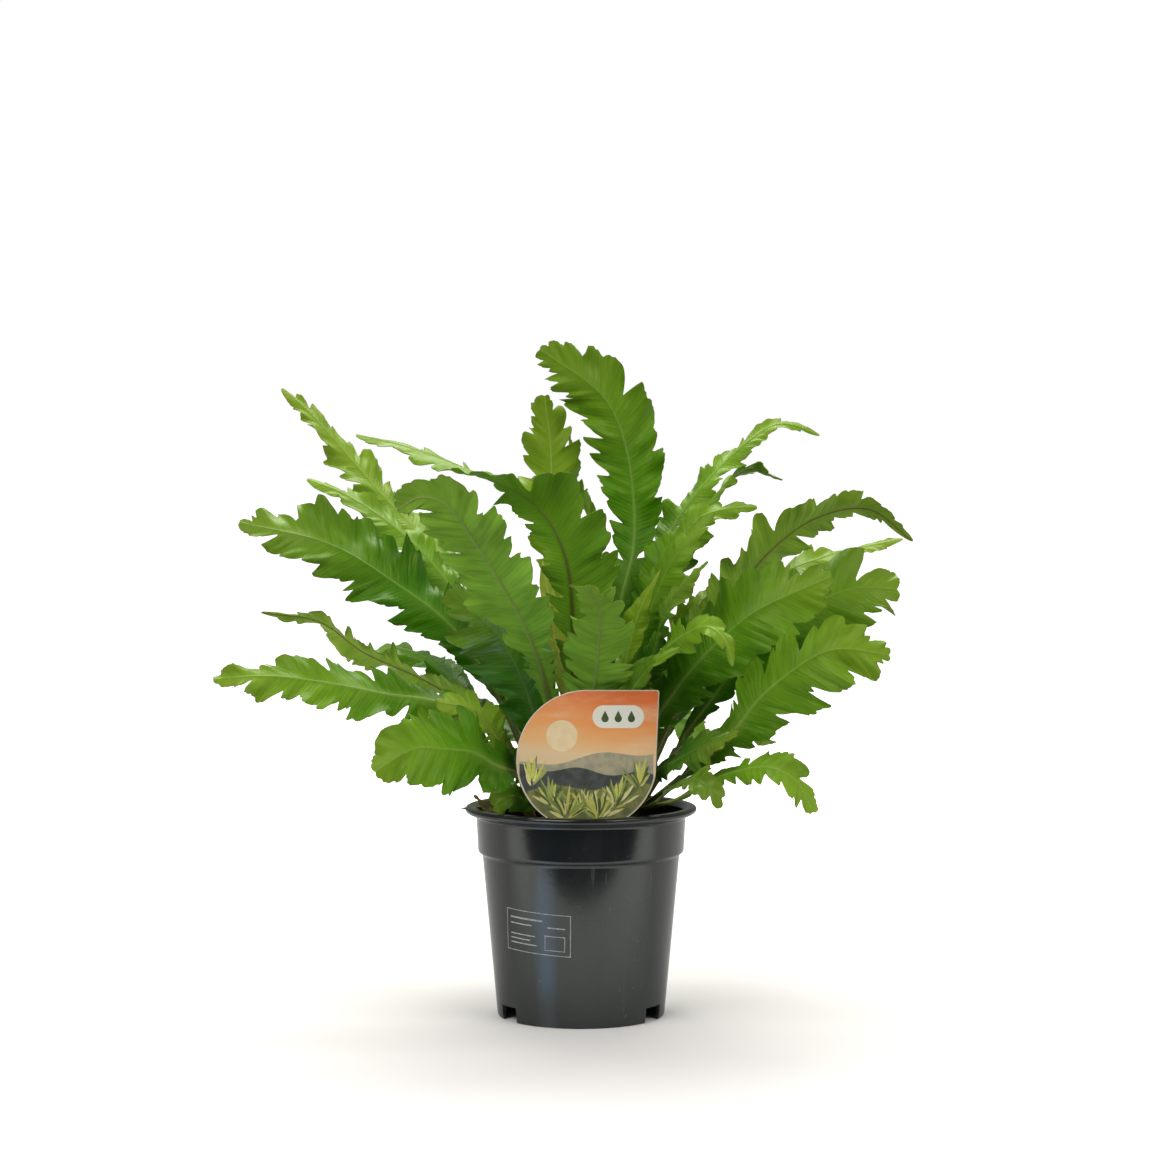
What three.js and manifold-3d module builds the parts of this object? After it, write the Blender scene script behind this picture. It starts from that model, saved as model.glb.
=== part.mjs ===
// A bird's nest fern with ruffled, cut fronds, growing in a black nursery pot with a plain plastic plant label.
// Millimetres, +Z up. The origin is the centre of the pot's underside, on the surface that it stands on.
// The label is on the -Y side, which is the front.

import * as THREE from "three";
import { mergeVertices } from "three/addons/utils/BufferGeometryUtils.js";
import Module from "manifold-3d";

const wasm = await Module();
wasm.setup();

const GAP = 0.3; // between pieces that touch
const HOLE_GAP = 0.38; // round a stalk in its hole
const RAD = Math.PI / 180;

// Pot: a 12 cm nursery pot, moulded in one piece.
const POT_HEIGHT = 113;
const RIM_RADIUS = 62.5;
const RIM_INNER_RADIUS = 57.4;
const RIM_LIP = 3.4; // height of the rolled edge
const BAND_TOP_RADIUS = 56.6;
const BAND_FOOT_RADIUS = 55.6;
const STEP_HEIGHT = 87; // where the wall steps out into the band
const WALL_TOP_RADIUS = 53.3;
const FOOT_RADIUS = 45.2;
const WALL = 1.5;
const FLOOR = 1.8;
const CHANNEL_INNER_RADIUS = 31; // a raised drain channel runs round the floor, behind the foot's skirt
const CHANNEL_OUTER_RADIUS = 43.2;
const CHANNEL_RISE = 8.4;
const NOTCH_BEARINGS = [90, 212, 328]; // cut through the skirt
const NOTCH_WIDTH = 14;
const NOTCH_HEIGHT = 8.2;
const NOTCH_DEPTH = 9;
const DRAIN_BEARINGS = [30, 150, 270];
const DRAIN_RADIUS = 3.2;
const POT_SIDES = 36;

// Soil and the crown that the fronds grow from.
const SOIL_EDGE = 97;
const SOIL_TOP = 100;
const CROWN_RADIUS = 27.5;
const CROWN_TOP = 109;
const CROWN_FOOT = 92;
const SEAT_HEIGHT = 96; // where the fronds' foot ends lie, inside the crown

// Label: a card like a drop with one square corner, on a spike.
const CARD_CENTRE = [3, -44.5, 141.8];
const CARD_RADIUS = 37;
const CARD_CORNER = [38, 37];
const CARD_EDGE_FOOT = [35.6, -8];
const CARD_THICKNESS = 0.9;
const SPIKE_WIDTH = 11;
const SPIKE_FOOT = 62;
const SPIKE_POINT = 8;

// Fronds. Each stands in a ring of the crown at a bearing, counted from +X towards +Y, rises straight for a
// little, and then follows its route to its tip. face is the way that its upper side looks from the middle on,
// and tipFace the same at its tip. width is across both halves, widest is where along the blade it is that wide,
// cut is how deep its edge is cut, halves the share of the width on its left and right, and ruffle how far its
// edge waves.
const RINGS = {
  inner: { radius: 6.2, lean: 8 },
  middle: { radius: 13, lean: 20 },
  outer: { radius: 20, lean: 36 },
};
const RISE = 17;

const FRONDS = [
  { name: "left_low", ring: "outer", bearing: 193, width: 43, face: [0.1, -0.72, 0.69],
    route: [[-67, -22, 166], [-105, -32, 176], [-161, -46, 186], [-191, -54, 185]] },
  { name: "left_curl", ring: "outer", bearing: 180, width: 28, widest: 0.5, face: [0.3, 0.6, 0.75],
    route: [[-56, 4, 161], [-82, 6, 179], [-117, 8, 195], [-142, 8, 212], [-173, 8, 217]] },
  { name: "left_big", ring: "middle", bearing: 196, width: 54, widest: 0.64, halves: [0.94, 1.18],
    face: [0.35, -0.8, 0.48],
    route: [[-47, -10, 177], [-69, -14, 210], [-101, -16, 235], [-133, -15, 254], [-183, -6, 266]] },
  { name: "upper_left", ring: "middle", bearing: 149, width: 46, face: [0.62, -0.5, 0.6],
    route: [[-46, 38, 215], [-76, 52, 246], [-111, 64, 280], [-154, 68, 328], [-168, 68, 340]] },
  { name: "left_light", ring: "middle", bearing: 173, width: 36, face: [0.5, -0.55, 0.67],
    route: [[-52, 12, 196], [-75, 14, 236], [-99, 15, 261], [-129, 17, 281], [-149, 18, 289]] },
  { name: "arch_left", ring: "inner", bearing: 230, width: 52, widest: 0.46, halves: [1.18, 0.6],
    face: [-0.1, 0.85, 0.5], tipFace: [0.1, -0.45, 1],
    route: [[-4, -20, 205], [-9, -36, 251], [-23, -42, 275], [-54, -50, 292], [-88, -56, 305], [-116, -58, 312]] },
  { name: "left_centre", ring: "middle", bearing: 245, width: 52, widest: 0.64, face: [0.3, 0.85, 0.3],
    route: [[-18, -34, 178], [-28, -57, 210], [-47, -80, 246], [-68, -94, 276], [-80, -92, 280], [-93, -84, 274]] },
  { name: "dark_glossy", ring: "middle", bearing: 219, width: 54, face: [0.25, -0.9, 0.35],
    route: [[-27, -23, 171], [-40, -34, 201], [-53, -42, 216], [-67, -50, 232]] },
  { name: "low_left_front", ring: "outer", bearing: 222, width: 54, widest: 0.58, cut: 0.2, face: [0.1, -0.9, 0.42],
    route: [[-32, -29, 131], [-45, -50, 140], [-56, -66, 148], [-70, -80, 151], [-85, -90, 152], [-104, -94, 141]] },
  { name: "low_left_back", ring: "outer", bearing: 207, width: 26, widest: 0.68, face: [0.2, -0.85, 0.45],
    route: [[-34, -14, 133], [-44, -24, 151], [-57, -31, 167], [-76, -38, 172]] },
  { name: "low_dark", ring: "outer", bearing: 238, width: 22, cut: 0.15, face: [0.1, -0.8, 0.6],
    route: [[-25, -33, 117], [-36, -37, 122], [-46, -38, 117]] },
  { name: "upright_left", ring: "inner", bearing: 140, width: 42, widest: 0.78, face: [0.15, -0.95, 0.2],
    route: [[-8, 20, 201], [-15, 30, 261], [-17, 36, 310], [-20, 38, 335]] },
  { name: "edge_on", ring: "inner", bearing: 105, width: 26, face: [-0.9, -0.35, 0.2],
    route: [[12, 34, 211], [5, 50, 266], [-4, 54, 287], [-7, 58, 317]] },
  { name: "tall_centre", ring: "inner", bearing: 70, width: 50, widest: 0.76, face: [0.05, -0.98, 0.2],
    route: [[22, 16, 223], [29, 26, 253], [25, 30, 305], [13, 27, 333], [-22, 8, 359]] },
  { name: "front_centre", ring: "outer", bearing: 262, width: 42, widest: 0.5, face: [0, 0.9, 0.4],
    tipFace: [0, 0.3, 0.95],
    route: [[7, -40, 180], [9, -57, 203], [10, -73, 219], [6, -88, 231], [-5, -101, 236]] },
  { name: "upper_right", ring: "middle", bearing: 38, width: 34, widest: 0.42, face: [-0.55, -0.6, 0.58],
    route: [[36, 30, 228], [52, 50, 264], [80, 63, 298], [107, 68, 319], [118, 68, 320], [134, 68, 314]] },
  { name: "right_dark", ring: "inner", bearing: 24, width: 32, face: [-0.4, -0.75, 0.5],
    route: [[31, 3, 198], [42, 2, 240], [64, 3, 268], [79, 5, 273], [95, 6, 274]] },
  { name: "right_fork", ring: "middle", bearing: 19, width: 35, widest: 0.72, face: [-0.5, 0.1, 0.85],
    route: [[49, 14, 228], [69, 23, 274], [80, 24, 287], [92, 24, 295], [110, 24, 289]] },
  { name: "mid_right", ring: "inner", bearing: 340, width: 30, face: [-0.4, -0.8, 0.4],
    route: [[32, -6, 203], [46, -11, 240], [55, -13, 254], [71, -12, 271]] },
  { name: "stem_side", ring: "middle", bearing: 316, width: 24, cut: 0.2, face: [-0.7, -0.5, 0.5],
    route: [[37, -29, 191], [45, -38, 221], [53, -43, 233], [66, -48, 246]] },
  { name: "light_strip", ring: "inner", bearing: 290, width: 16, cut: 0.05, face: [-0.5, -0.8, 0.3],
    route: [[22, -17, 182], [26, -20, 201], [31, -23, 219], [42, -25, 241]] },
  { name: "right_arch", ring: "middle", bearing: 3, width: 40, widest: 0.52, halves: [0.8, 1.15],
    face: [-0.3, 0.85, 0.45], tipFace: [0, 0.6, 0.8],
    route: [[62, 0, 197], [82, 4, 225], [102, 6, 250], [127, 9, 268], [156, 10, 273], [179, 4, 256]] },
  { name: "right_thin", ring: "outer", bearing: 22, width: 30, face: [-0.2, -0.45, 0.87],
    route: [[70, 20, 196], [99, 38, 230], [132, 46, 245], [179, 50, 256]] },
  { name: "right_big", ring: "outer", bearing: 354, width: 62, widest: 0.74, face: [-0.3, -0.85, 0.42],
    route: [[66, -10, 166], [96, -12, 203], [117, -10, 217], [144, -6, 230], [170, -2, 230]] },
  { name: "right_low", ring: "outer", bearing: 342, width: 56, widest: 0.7, halves: [0.8, 1.05],
    face: [-0.2, -0.9, 0.35],
    route: [[54, -30, 132], [68, -45, 147], [80, -57, 159], [94, -68, 178], [127, -84, 202], [156, -90, 200]] },
  { name: "right_wide", ring: "middle", bearing: 335, width: 56, widest: 0.64, face: [-0.3, -0.93, 0.2],
    route: [[43, -19, 166], [59, -28, 189], [77, -36, 208], [92, -40, 220], [131, -42, 238]] },
  { name: "front_curl", ring: "outer", bearing: 295, width: 22, face: [0, -0.5, 0.85], tipFace: [0.3, -0.9, 0.2],
    route: [[28, -35, 172], [38, -44, 194], [56, -62, 210], [66, -74, 213], [74, -82, 206], [77, -84, 194]] },
  { name: "droop_right", ring: "outer", bearing: 318, width: 28, widest: 0.8, face: [-0.1, -0.7, 0.7],
    tipFace: [0.5, -0.8, 0.3],
    route: [[50, -42, 121], [75, -68, 137], [98, -88, 142], [109, -94, 136], [117, -98, 121]] },
  { name: "low_fingers", ring: "outer", bearing: 306, width: 24, widest: 0.7, face: [0, -0.5, 0.85],
    tipFace: [0.4, -0.9, 0.1],
    route: [[35, -39, 117], [45, -58, 127], [53, -76, 135], [61, -88, 135], [67, -94, 130], [70, -96, 123]] },
  { name: "low_right", ring: "outer", bearing: 330, width: 30, cut: 0.26, face: [-0.2, -0.7, 0.68],
    route: [[38, -27, 132], [52, -46, 143], [62, -60, 150], [80, -80, 159]] },
  { name: "back_right_low", ring: "outer", bearing: 8, width: 34, face: [-0.3, 0, 0.95],
    route: [[56, 22, 140], [84, 40, 152], [108, 54, 142]] },
  { name: "back_right", ring: "outer", bearing: 38, width: 44, face: [-0.4, -0.4, 0.8],
    route: [[64, 42, 170], [116, 70, 200], [158, 90, 192]] },
  { name: "back_right_high", ring: "middle", bearing: 56, width: 42, face: [-0.4, -0.5, 0.75],
    route: [[52, 62, 190], [92, 104, 224], [136, 140, 222]] },
  { name: "back_foot_right", ring: "outer", bearing: 58, width: 36, face: [-0.2, -0.3, 0.92],
    route: [[36, 58, 142], [54, 100, 154], [66, 138, 136]] },
  { name: "back_centre", ring: "outer", bearing: 78, width: 46, face: [-0.1, -0.5, 0.85],
    route: [[16, 78, 170], [22, 130, 200], [26, 178, 182]] },
  { name: "back_high", ring: "middle", bearing: 92, width: 42, face: [0, -0.7, 0.7],
    route: [[-2, 60, 205], [-6, 104, 240], [-10, 150, 250]] },
  { name: "back_left_high", ring: "middle", bearing: 128, width: 42, face: [0.4, -0.5, 0.75],
    route: [[-45, 60, 190], [-80, 100, 226], [-118, 138, 226]] },
  { name: "back_foot_left", ring: "outer", bearing: 112, width: 36, face: [0.2, -0.3, 0.92],
    route: [[-30, 62, 142], [-48, 104, 152], [-66, 142, 132]] },
  { name: "back_left", ring: "outer", bearing: 133, width: 42, face: [0.4, -0.4, 0.8],
    route: [[-62, 56, 168], [-100, 90, 192], [-136, 118, 186]] },
  { name: "back_left_low", ring: "outer", bearing: 157, width: 34, face: [0.3, 0, 0.95],
    route: [[-54, 32, 138], [-84, 54, 150], [-110, 72, 142]] },
  { name: "strip_left", ring: "inner", bearing: 190, width: 15, cut: 0.05, face: [0.2, -0.95, 0.2],
    route: [[-7, 2, 175], [-14, 2, 202], [-17, 2, 223], [-21, 4, 246]] },
  { name: "leaflet", ring: "outer", bearing: 279, width: 13, widest: 0.75, cut: 0.15, face: [-0.2, -0.9, 0.5],
    route: [[19, -39, 160], [29, -44, 182], [42, -59, 197], [51, -63, 202]] },
  { name: "light_behind", ring: "outer", bearing: 47, width: 30, widest: 0.7, face: [-0.3, -0.9, 0.3],
    route: [[42, 35, 167], [54, 53, 189], [63, 50, 215], [74, 57, 228]] },
];

const WIDEST = 0.62;
const CUT = 0.34;
const RUFFLE = 4;
const STALK_SHARE = 0.13; // of a frond's length, from its foot
const STALK_LENGTH = 21; // and never shorter than this
const STALK_HALF = 1.5;
const STALK_RIB = 1.5; // how far the rib stands out under a stalk
const TIP_RIB = 0.4;
const BLADE_HALF_THICKNESS = 0.4;
const FULLNESS = 0.72;
const FOOT_SHARE = 0.45; // of that width, near the stalk
const LOBE_PITCH = 30.5;
const PLAIN_LOBE_PITCH = 48; // of the fronds at the back
const LEAST_LOBES = 4;
const LEAST_STEP = 2.6; // between two sections of a blade
const SWEEP = 28 * RAD; // lobes lean towards the tip by this
const TIP_SWEEP = 50 * RAD;
const WAVE_LENGTH = 42;
const CHANNEL_FOLD = 0.5; // a blade is a channel near its foot
const ARCH_FOLD = -0.1; // and its halves hang a little further out
const TURN_FROM = 0.12; // where a frond starts to turn to its face
const TURN_TO = 0.45;
const TIP_TURN_FROM = 0.5;
const TIP_TURN_TO = 0.9;

const smooth = (from, to, x) => THREE.MathUtils.smoothstep(x, from, to);
const mix = (a, b, k) => a + (b - a) * k;

// A repeatable sequence of numbers from 0 to 1.
function dice(seed) {
  let state = seed;
  return () => {
    state = (state * 16807) % 2147483647;
    return state / 2147483647;
  };
}

// Solids and geometries.
function toSolid(geometry) {
  const bare = geometry.index ? geometry.toNonIndexed() : geometry.clone();
  bare.deleteAttribute("normal");
  bare.deleteAttribute("uv");
  const merged = mergeVertices(bare, 1e-4);
  return new wasm.Manifold(
    new wasm.Mesh({
      numProp: 3,
      vertProperties: merged.attributes.position.array,
      triVerts: new Uint32Array(merged.index.array),
    }),
  );
}

function toGeometry(solid) {
  const mesh = solid.getMesh();
  const geometry = new THREE.BufferGeometry();
  geometry.setAttribute("position", new THREE.BufferAttribute(mesh.vertProperties, 3));
  geometry.setIndex(new THREE.BufferAttribute(mesh.triVerts, 1));
  geometry.computeVertexNormals();
  return geometry;
}

// A body turned round +Z from [radius, height] points.
function turned(profile, sides) {
  const points = profile.map(([radius, height]) => new THREE.Vector2(radius, height));
  return new THREE.LatheGeometry(points, sides).rotateX(Math.PI / 2);
}

function placedBox(width, depth, height, bearing, radius, z) {
  return new THREE.BoxGeometry(depth, width, height)
    .translate(radius, 0, z)
    .rotateZ(bearing * RAD);
}

// The route of a frond's midrib, from its foot in the crown to its tip.
function spineOf(frond) {
  const { radius, lean } = RINGS[frond.ring];
  const out = new THREE.Vector3(Math.cos(frond.bearing * RAD), Math.sin(frond.bearing * RAD), 0);
  const foot = out.clone().multiplyScalar(radius).setZ(SEAT_HEIGHT);
  const rise = out.clone().multiplyScalar(Math.sin(lean * RAD)).setZ(Math.cos(lean * RAD));
  const start = foot.clone().addScaledVector(rise, RISE);
  const route = frond.route.map((point) => new THREE.Vector3(...point));
  return new THREE.CatmullRomCurve3([foot, start, ...route], false, "centripetal");
}

// The cuts in one half's edge: where each lies along the frond, and how deep it is.
function cutsOf(frond, side, stalkShare, pitch, random) {
  const offset = side < 0 ? 0.1 : 0.6;
  const depth = frond.cut ?? CUT;
  const cuts = [];
  for (let at = stalkShare + pitch * offset; at < 1 + pitch; at += pitch)
    cuts.push({
      at: at + 0.2 * pitch * (random() - 0.5),
      depth: Math.min(0.8, depth * (0.5 + random())),
    });
  return cuts;
}

// How much of the full half width is left at a place along the frond.
function edgeShare(cuts, t) {
  const next = cuts.findIndex((cut) => cut.at > t);
  if (next <= 0) return 1;
  const from = cuts[next - 1];
  const along = (t - from.at) / (cuts[next].at - from.at);
  const rise = Math.min(1, along / 0.6) ** 0.7;
  const fall = Math.min(1, (1 - along) / 0.2);
  const depth = rise < fall ? from.depth : cuts[next].depth;
  return 1 - depth * (1 - Math.min(rise, fall));
}

// A frond's frame and edges at any place t from 0 at its foot to 1 at its tip, and the places of its sections.
function frondShape(frond, index) {
  const spine = spineOf(frond);
  const length = spine.getLength();
  const random = dice(1000 + 37 * index);
  const stalkShare = Math.max(STALK_SHARE, STALK_LENGTH / length);
  const lobePitch = frond.name.startsWith("back_") ? PLAIN_LOBE_PITCH : LOBE_PITCH;
  const lobes = Math.max(LEAST_LOBES, Math.round(length / lobePitch));
  const pitch = (1 - stalkShare) / lobes;
  const peak = Math.log(0.5) / Math.log(frond.widest ?? WIDEST);
  const cuts = {
    "-1": cutsOf(frond, -1, stalkShare, pitch, random),
    1: cutsOf(frond, 1, stalkShare, pitch, random),
  };
  const phase = { "-1": random(), 1: random() };
  const halves = { "-1": frond.halves?.[0] ?? 1, 1: frond.halves?.[1] ?? 1 };
  const waves = length / WAVE_LENGTH;
  const turnFrom = Math.max(TURN_FROM, RISE / length);
  const turnTo = Math.max(TURN_TO, turnFrom + 0.25);
  const bearing = frond.bearing * RAD;
  const inward = new THREE.Vector3(-Math.cos(bearing), -Math.sin(bearing), 0.3).normalize();
  const face = new THREE.Vector3(...frond.face).normalize();
  const tipFace = new THREE.Vector3(...(frond.tipFace ?? frond.face)).normalize();

  function frameAt(t) {
    const centre = spine.getPointAt(t);
    const tangent = spine.getTangentAt(t);
    const up = inward
      .clone()
      .lerp(face, smooth(turnFrom, turnTo, t))
      .lerp(tipFace, smooth(TIP_TURN_FROM, TIP_TURN_TO, t));
    up.addScaledVector(tangent, -up.dot(tangent)).normalize();
    return { centre, tangent, up, across: tangent.clone().cross(up) };
  }

  // Half the width of the uncut blade.
  function reachAt(t) {
    const x = Math.max(0, (t - stalkShare) / (1 - stalkShare));
    const full = Math.max(0, Math.sin(Math.PI * x ** peak)) ** FULLNESS;
    const blade = full * mix(FOOT_SHARE, 1, smooth(0, 0.8 * (frond.widest ?? WIDEST), x));
    return STALK_HALF * (1 - 0.75 * x) + (frond.width / 2 - STALK_HALF) * blade;
  }

  function edgePoint(frame, t, side) {
    const isBlade = t > stalkShare;
    const half = isBlade ? halves[side] * edgeShare(cuts[side], t) : 1;
    const reach = reachAt(t) * half;
    const sweep = isBlade ? mix(SWEEP, TIP_SWEEP, smooth(0.7, 1, t)) * smooth(0.1, 0.3, t) : 0;
    const fold = mix(CHANNEL_FOLD, ARCH_FOLD, smooth(0.15, 0.5, t));
    const out = reach / (frond.width / 2);
    const wave = (frond.ruffle ?? RUFFLE) * out ** 1.5 * Math.sin(2 * Math.PI * (t * waves + phase[side]));
    return frame.centre
      .clone()
      .addScaledVector(frame.across, side * reach * Math.cos(sweep))
      .addScaledVector(frame.tangent, reach * Math.sin(sweep))
      .addScaledVector(frame.up, fold * reach + wave);
  }

  // Sections: three along the stalk, and in the blade one at each cut and one at the shoulder before it.
  const wanted = [1];
  for (const side of [-1, 1])
    for (const { at } of cuts[side]) wanted.push(at - 0.22 * pitch, at);
  const places = [0, RISE / length, stalkShare];
  for (const place of wanted.sort((a, b) => a - b)) {
    const step = (place - places[places.length - 1]) * length;
    if (place === 1 || (step > LEAST_STEP && (1 - place) * length > 1.4 * LEAST_STEP)) places.push(place);
    if (place === 1) break;
  }
  return { frameAt, edgePoint, places, length };
}

// A closed body through rings of corners, all with the same number of them.
function bodyThrough(rings, splitBack) {
  const around = rings[0].length;
  const last = (rings.length - 1) * around;
  const index = [];
  for (let ring = 0; ring < last; ring += around)
    for (let j = 0; j < around; j++) {
      const k = (j + 1) % around;
      const [a, b, c, d] = [ring + j, ring + k, ring + around + k, ring + around + j];
      if (splitBack.includes(j)) index.push(a, b, c, a, c, d);
      else index.push(a, b, d, b, c, d);
    }
  for (let j = 1; j < around - 1; j++) {
    index.push(0, j + 1, j);
    index.push(last, last + j, last + j + 1);
  }
  const geometry = new THREE.BufferGeometry();
  geometry.setAttribute("position", new THREE.Float32BufferAttribute(rings.flat().flatMap((p) => [...p]), 3));
  geometry.setIndex(index);
  return geometry;
}

// A frond's blade with its stalk. Both faces are split along the same diagonals, from the rib out to the tip.
function makeFrond(shape) {
  const half = BLADE_HALF_THICKNESS;
  const rings = shape.places.map((t) => {
    const frame = shape.frameAt(t);
    const left = shape.edgePoint(frame, t, -1);
    const right = shape.edgePoint(frame, t, 1);
    const rib = mix(STALK_RIB, TIP_RIB, smooth(0, 0.8, t));
    const lift = (point, by) => point.clone().addScaledVector(frame.up, by);
    return [
      lift(left, half), lift(frame.centre, half + 0.3 * rib), lift(right, half),
      lift(right, -half), lift(frame.centre, -half - rib), lift(left, -half),
    ];
  });
  return bodyThrough(rings, [1, 4, 5]);
}

// The plain hole that a frond's stalk stands in: a slot round its straight foot.
function stalkHole(shape) {
  const out = STALK_HALF + HOLE_GAP;
  const above = BLADE_HALF_THICKNESS + CHANNEL_FOLD * STALK_HALF + HOLE_GAP;
  const below = BLADE_HALF_THICKNESS + STALK_RIB + HOLE_GAP;
  const rings = shape.places.slice(0, 2).map((t) => {
    const { centre, tangent, up, across } = shape.frameAt(t);
    if (t === 0) centre.addScaledVector(tangent, -GAP);
    const corner = (side, by) => centre.clone().addScaledVector(across, side * out).addScaledVector(up, by);
    return [corner(-1, above), corner(1, above), corner(1, -below), corner(-1, -below)];
  });
  return bodyThrough(rings, []);
}

const POT_INNER_FOOT = FOOT_RADIUS - WALL + 0.6;
const POT_INNER_TOP = WALL_TOP_RADIUS - WALL;

function makePot() {
  const lipFoot = POT_HEIGHT - RIM_LIP;
  const profile = [
    [0, 0], [CHANNEL_INNER_RADIUS, 0], [CHANNEL_INNER_RADIUS + 1, CHANNEL_RISE],
    [CHANNEL_OUTER_RADIUS, CHANNEL_RISE], [CHANNEL_OUTER_RADIUS + 0.4, 0], [FOOT_RADIUS - 0.5, 0],
    [FOOT_RADIUS, 1], [WALL_TOP_RADIUS, STEP_HEIGHT],
    [BAND_FOOT_RADIUS, STEP_HEIGHT + 1.6], [BAND_TOP_RADIUS, lipFoot - 2.2], [RIM_RADIUS - 0.9, lipFoot],
    [RIM_RADIUS, lipFoot + 1], [RIM_RADIUS, POT_HEIGHT - 1], [RIM_RADIUS - 1, POT_HEIGHT],
    [RIM_INNER_RADIUS, POT_HEIGHT], [BAND_TOP_RADIUS - WALL, POT_HEIGHT - 2.2],
    [BAND_FOOT_RADIUS - WALL, STEP_HEIGHT + 2], [POT_INNER_TOP, STEP_HEIGHT + 0.4],
    [POT_INNER_FOOT, FLOOR + CHANNEL_RISE], [CHANNEL_INNER_RADIUS - 0.8, FLOOR + CHANNEL_RISE],
    [CHANNEL_INNER_RADIUS - 1.8, FLOOR], [0, FLOOR],
  ];
  let pot = toSolid(turned(profile, POT_SIDES));
  for (const bearing of NOTCH_BEARINGS)
    pot = pot.subtract(
      toSolid(placedBox(NOTCH_WIDTH, NOTCH_DEPTH, NOTCH_HEIGHT + 1, bearing,
        FOOT_RADIUS + 2 - NOTCH_DEPTH / 2, (NOTCH_HEIGHT - 1) / 2)),
    );
  for (const bearing of DRAIN_BEARINGS) {
    const drain = new THREE.CylinderGeometry(DRAIN_RADIUS, DRAIN_RADIUS, 12, 12)
      .rotateX(Math.PI / 2)
      .translate((CHANNEL_INNER_RADIUS + CHANNEL_OUTER_RADIUS) / 2, 0, CHANNEL_RISE)
      .rotateZ(bearing * RAD);
    pot = pot.subtract(toSolid(drain));
  }
  return toGeometry(pot);
}

function spikeBox(grow) {
  const height = SOIL_TOP + 12 - SPIKE_FOOT;
  return new THREE.BoxGeometry(SPIKE_WIDTH + 2 * grow, CARD_THICKNESS + 2 * grow, height + 2 * grow)
    .translate(CARD_CENTRE[0], CARD_CENTRE[1], SPIKE_FOOT + height / 2);
}

function makeSoil() {
  const floor = FLOOR + GAP;
  const profile = [
    [0, floor], [CHANNEL_INNER_RADIUS - 2.2, floor], [CHANNEL_INNER_RADIUS - 1.2, floor + CHANNEL_RISE],
    [POT_INNER_FOOT - GAP, floor + CHANNEL_RISE], [POT_INNER_TOP - GAP, STEP_HEIGHT + 0.6],
    [BAND_FOOT_RADIUS - WALL - 2 * GAP, STEP_HEIGHT + 2.4], [BAND_FOOT_RADIUS - WALL - GAP, SOIL_EDGE],
    [(BAND_FOOT_RADIUS + CROWN_RADIUS) / 2, SOIL_EDGE + 1], [CROWN_RADIUS + GAP, SOIL_TOP],
    [CROWN_RADIUS + GAP, CROWN_FOOT - GAP], [0, CROWN_FOOT - GAP],
  ];
  return toGeometry(toSolid(turned(profile, POT_SIDES)).subtract(toSolid(spikeBox(GAP))));
}

function makeCrown(shapes) {
  const shoulder = (SOIL_TOP + CROWN_TOP) / 2 + 1.5;
  const profile = [
    [0, CROWN_FOOT], [CROWN_RADIUS, CROWN_FOOT], [CROWN_RADIUS, SOIL_TOP],
    [CROWN_RADIUS - 2.5, shoulder], [CROWN_RADIUS / 2, CROWN_TOP - 0.8], [0, CROWN_TOP],
  ];
  let crown = toSolid(turned(profile, 24));
  for (const shape of shapes) crown = crown.subtract(toSolid(stalkHole(shape)));
  return toGeometry(crown);
}

function makeLabel() {
  const outline = new THREE.Shape();
  const spikeHalf = SPIKE_WIDTH / 2;
  const join = Math.asin(spikeHalf / CARD_RADIUS);
  const foot = Math.atan2(CARD_EDGE_FOOT[1], CARD_EDGE_FOOT[0]);
  const spikeEnd = SPIKE_FOOT - CARD_CENTRE[2];
  outline.moveTo(0, CARD_RADIUS);
  outline.absarc(0, 0, CARD_RADIUS, Math.PI / 2, 1.5 * Math.PI - join, false);
  outline.lineTo(-spikeHalf, spikeEnd + SPIKE_POINT);
  outline.lineTo(0, spikeEnd);
  outline.lineTo(spikeHalf, spikeEnd + SPIKE_POINT);
  outline.absarc(0, 0, CARD_RADIUS, 1.5 * Math.PI + join, 2 * Math.PI + foot, false);
  outline.lineTo(...CARD_CORNER);
  const plate = new THREE.ExtrudeGeometry(outline, {
    depth: CARD_THICKNESS, bevelEnabled: false, curveSegments: 10,
  });
  return plate
    .translate(0, 0, -CARD_THICKNESS / 2)
    .rotateX(Math.PI / 2)
    .translate(...CARD_CENTRE);
}

const paint = (color, roughness) => new THREE.MeshStandardMaterial({ color, roughness, metalness: 0 });
const POT_PLASTIC = paint(0x23272a, 0.35);
const SOIL_PEAT = paint(0x2b1d12, 0.95);
const CROWN_SCALE = paint(0x33241a, 0.9);
const LABEL_PLASTIC = paint(0xd98a55, 0.4);
const LEAF = paint(0x3f7a1c, 0.45);

const plant = new THREE.Group();
const shapes = FRONDS.map(frondShape);

function add(name, geometry, material) {
  const mesh = new THREE.Mesh(geometry, material);
  mesh.name = name;
  plant.add(mesh);
}

add("pot", makePot(), POT_PLASTIC);
add("soil", makeSoil(), SOIL_PEAT);
add("crown", makeCrown(shapes), CROWN_SCALE);
add("plant_label", makeLabel(), LABEL_PLASTIC);
FRONDS.forEach((frond, i) => add("frond_" + frond.name, makeFrond(shapes[i]), LEAF));

export default plant;
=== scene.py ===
"""Looks of a bird's nest fern in a nursery pot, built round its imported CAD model.

The tables and functions that shape the fronds are in millimetres, as in the part's source, and every mesh is
made in metres. The fronds follow the same routes, widths and cuts as the solids that they stand for.
"""
import math

import bpy
import bmesh
import numpy as np
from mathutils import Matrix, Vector, noise


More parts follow.
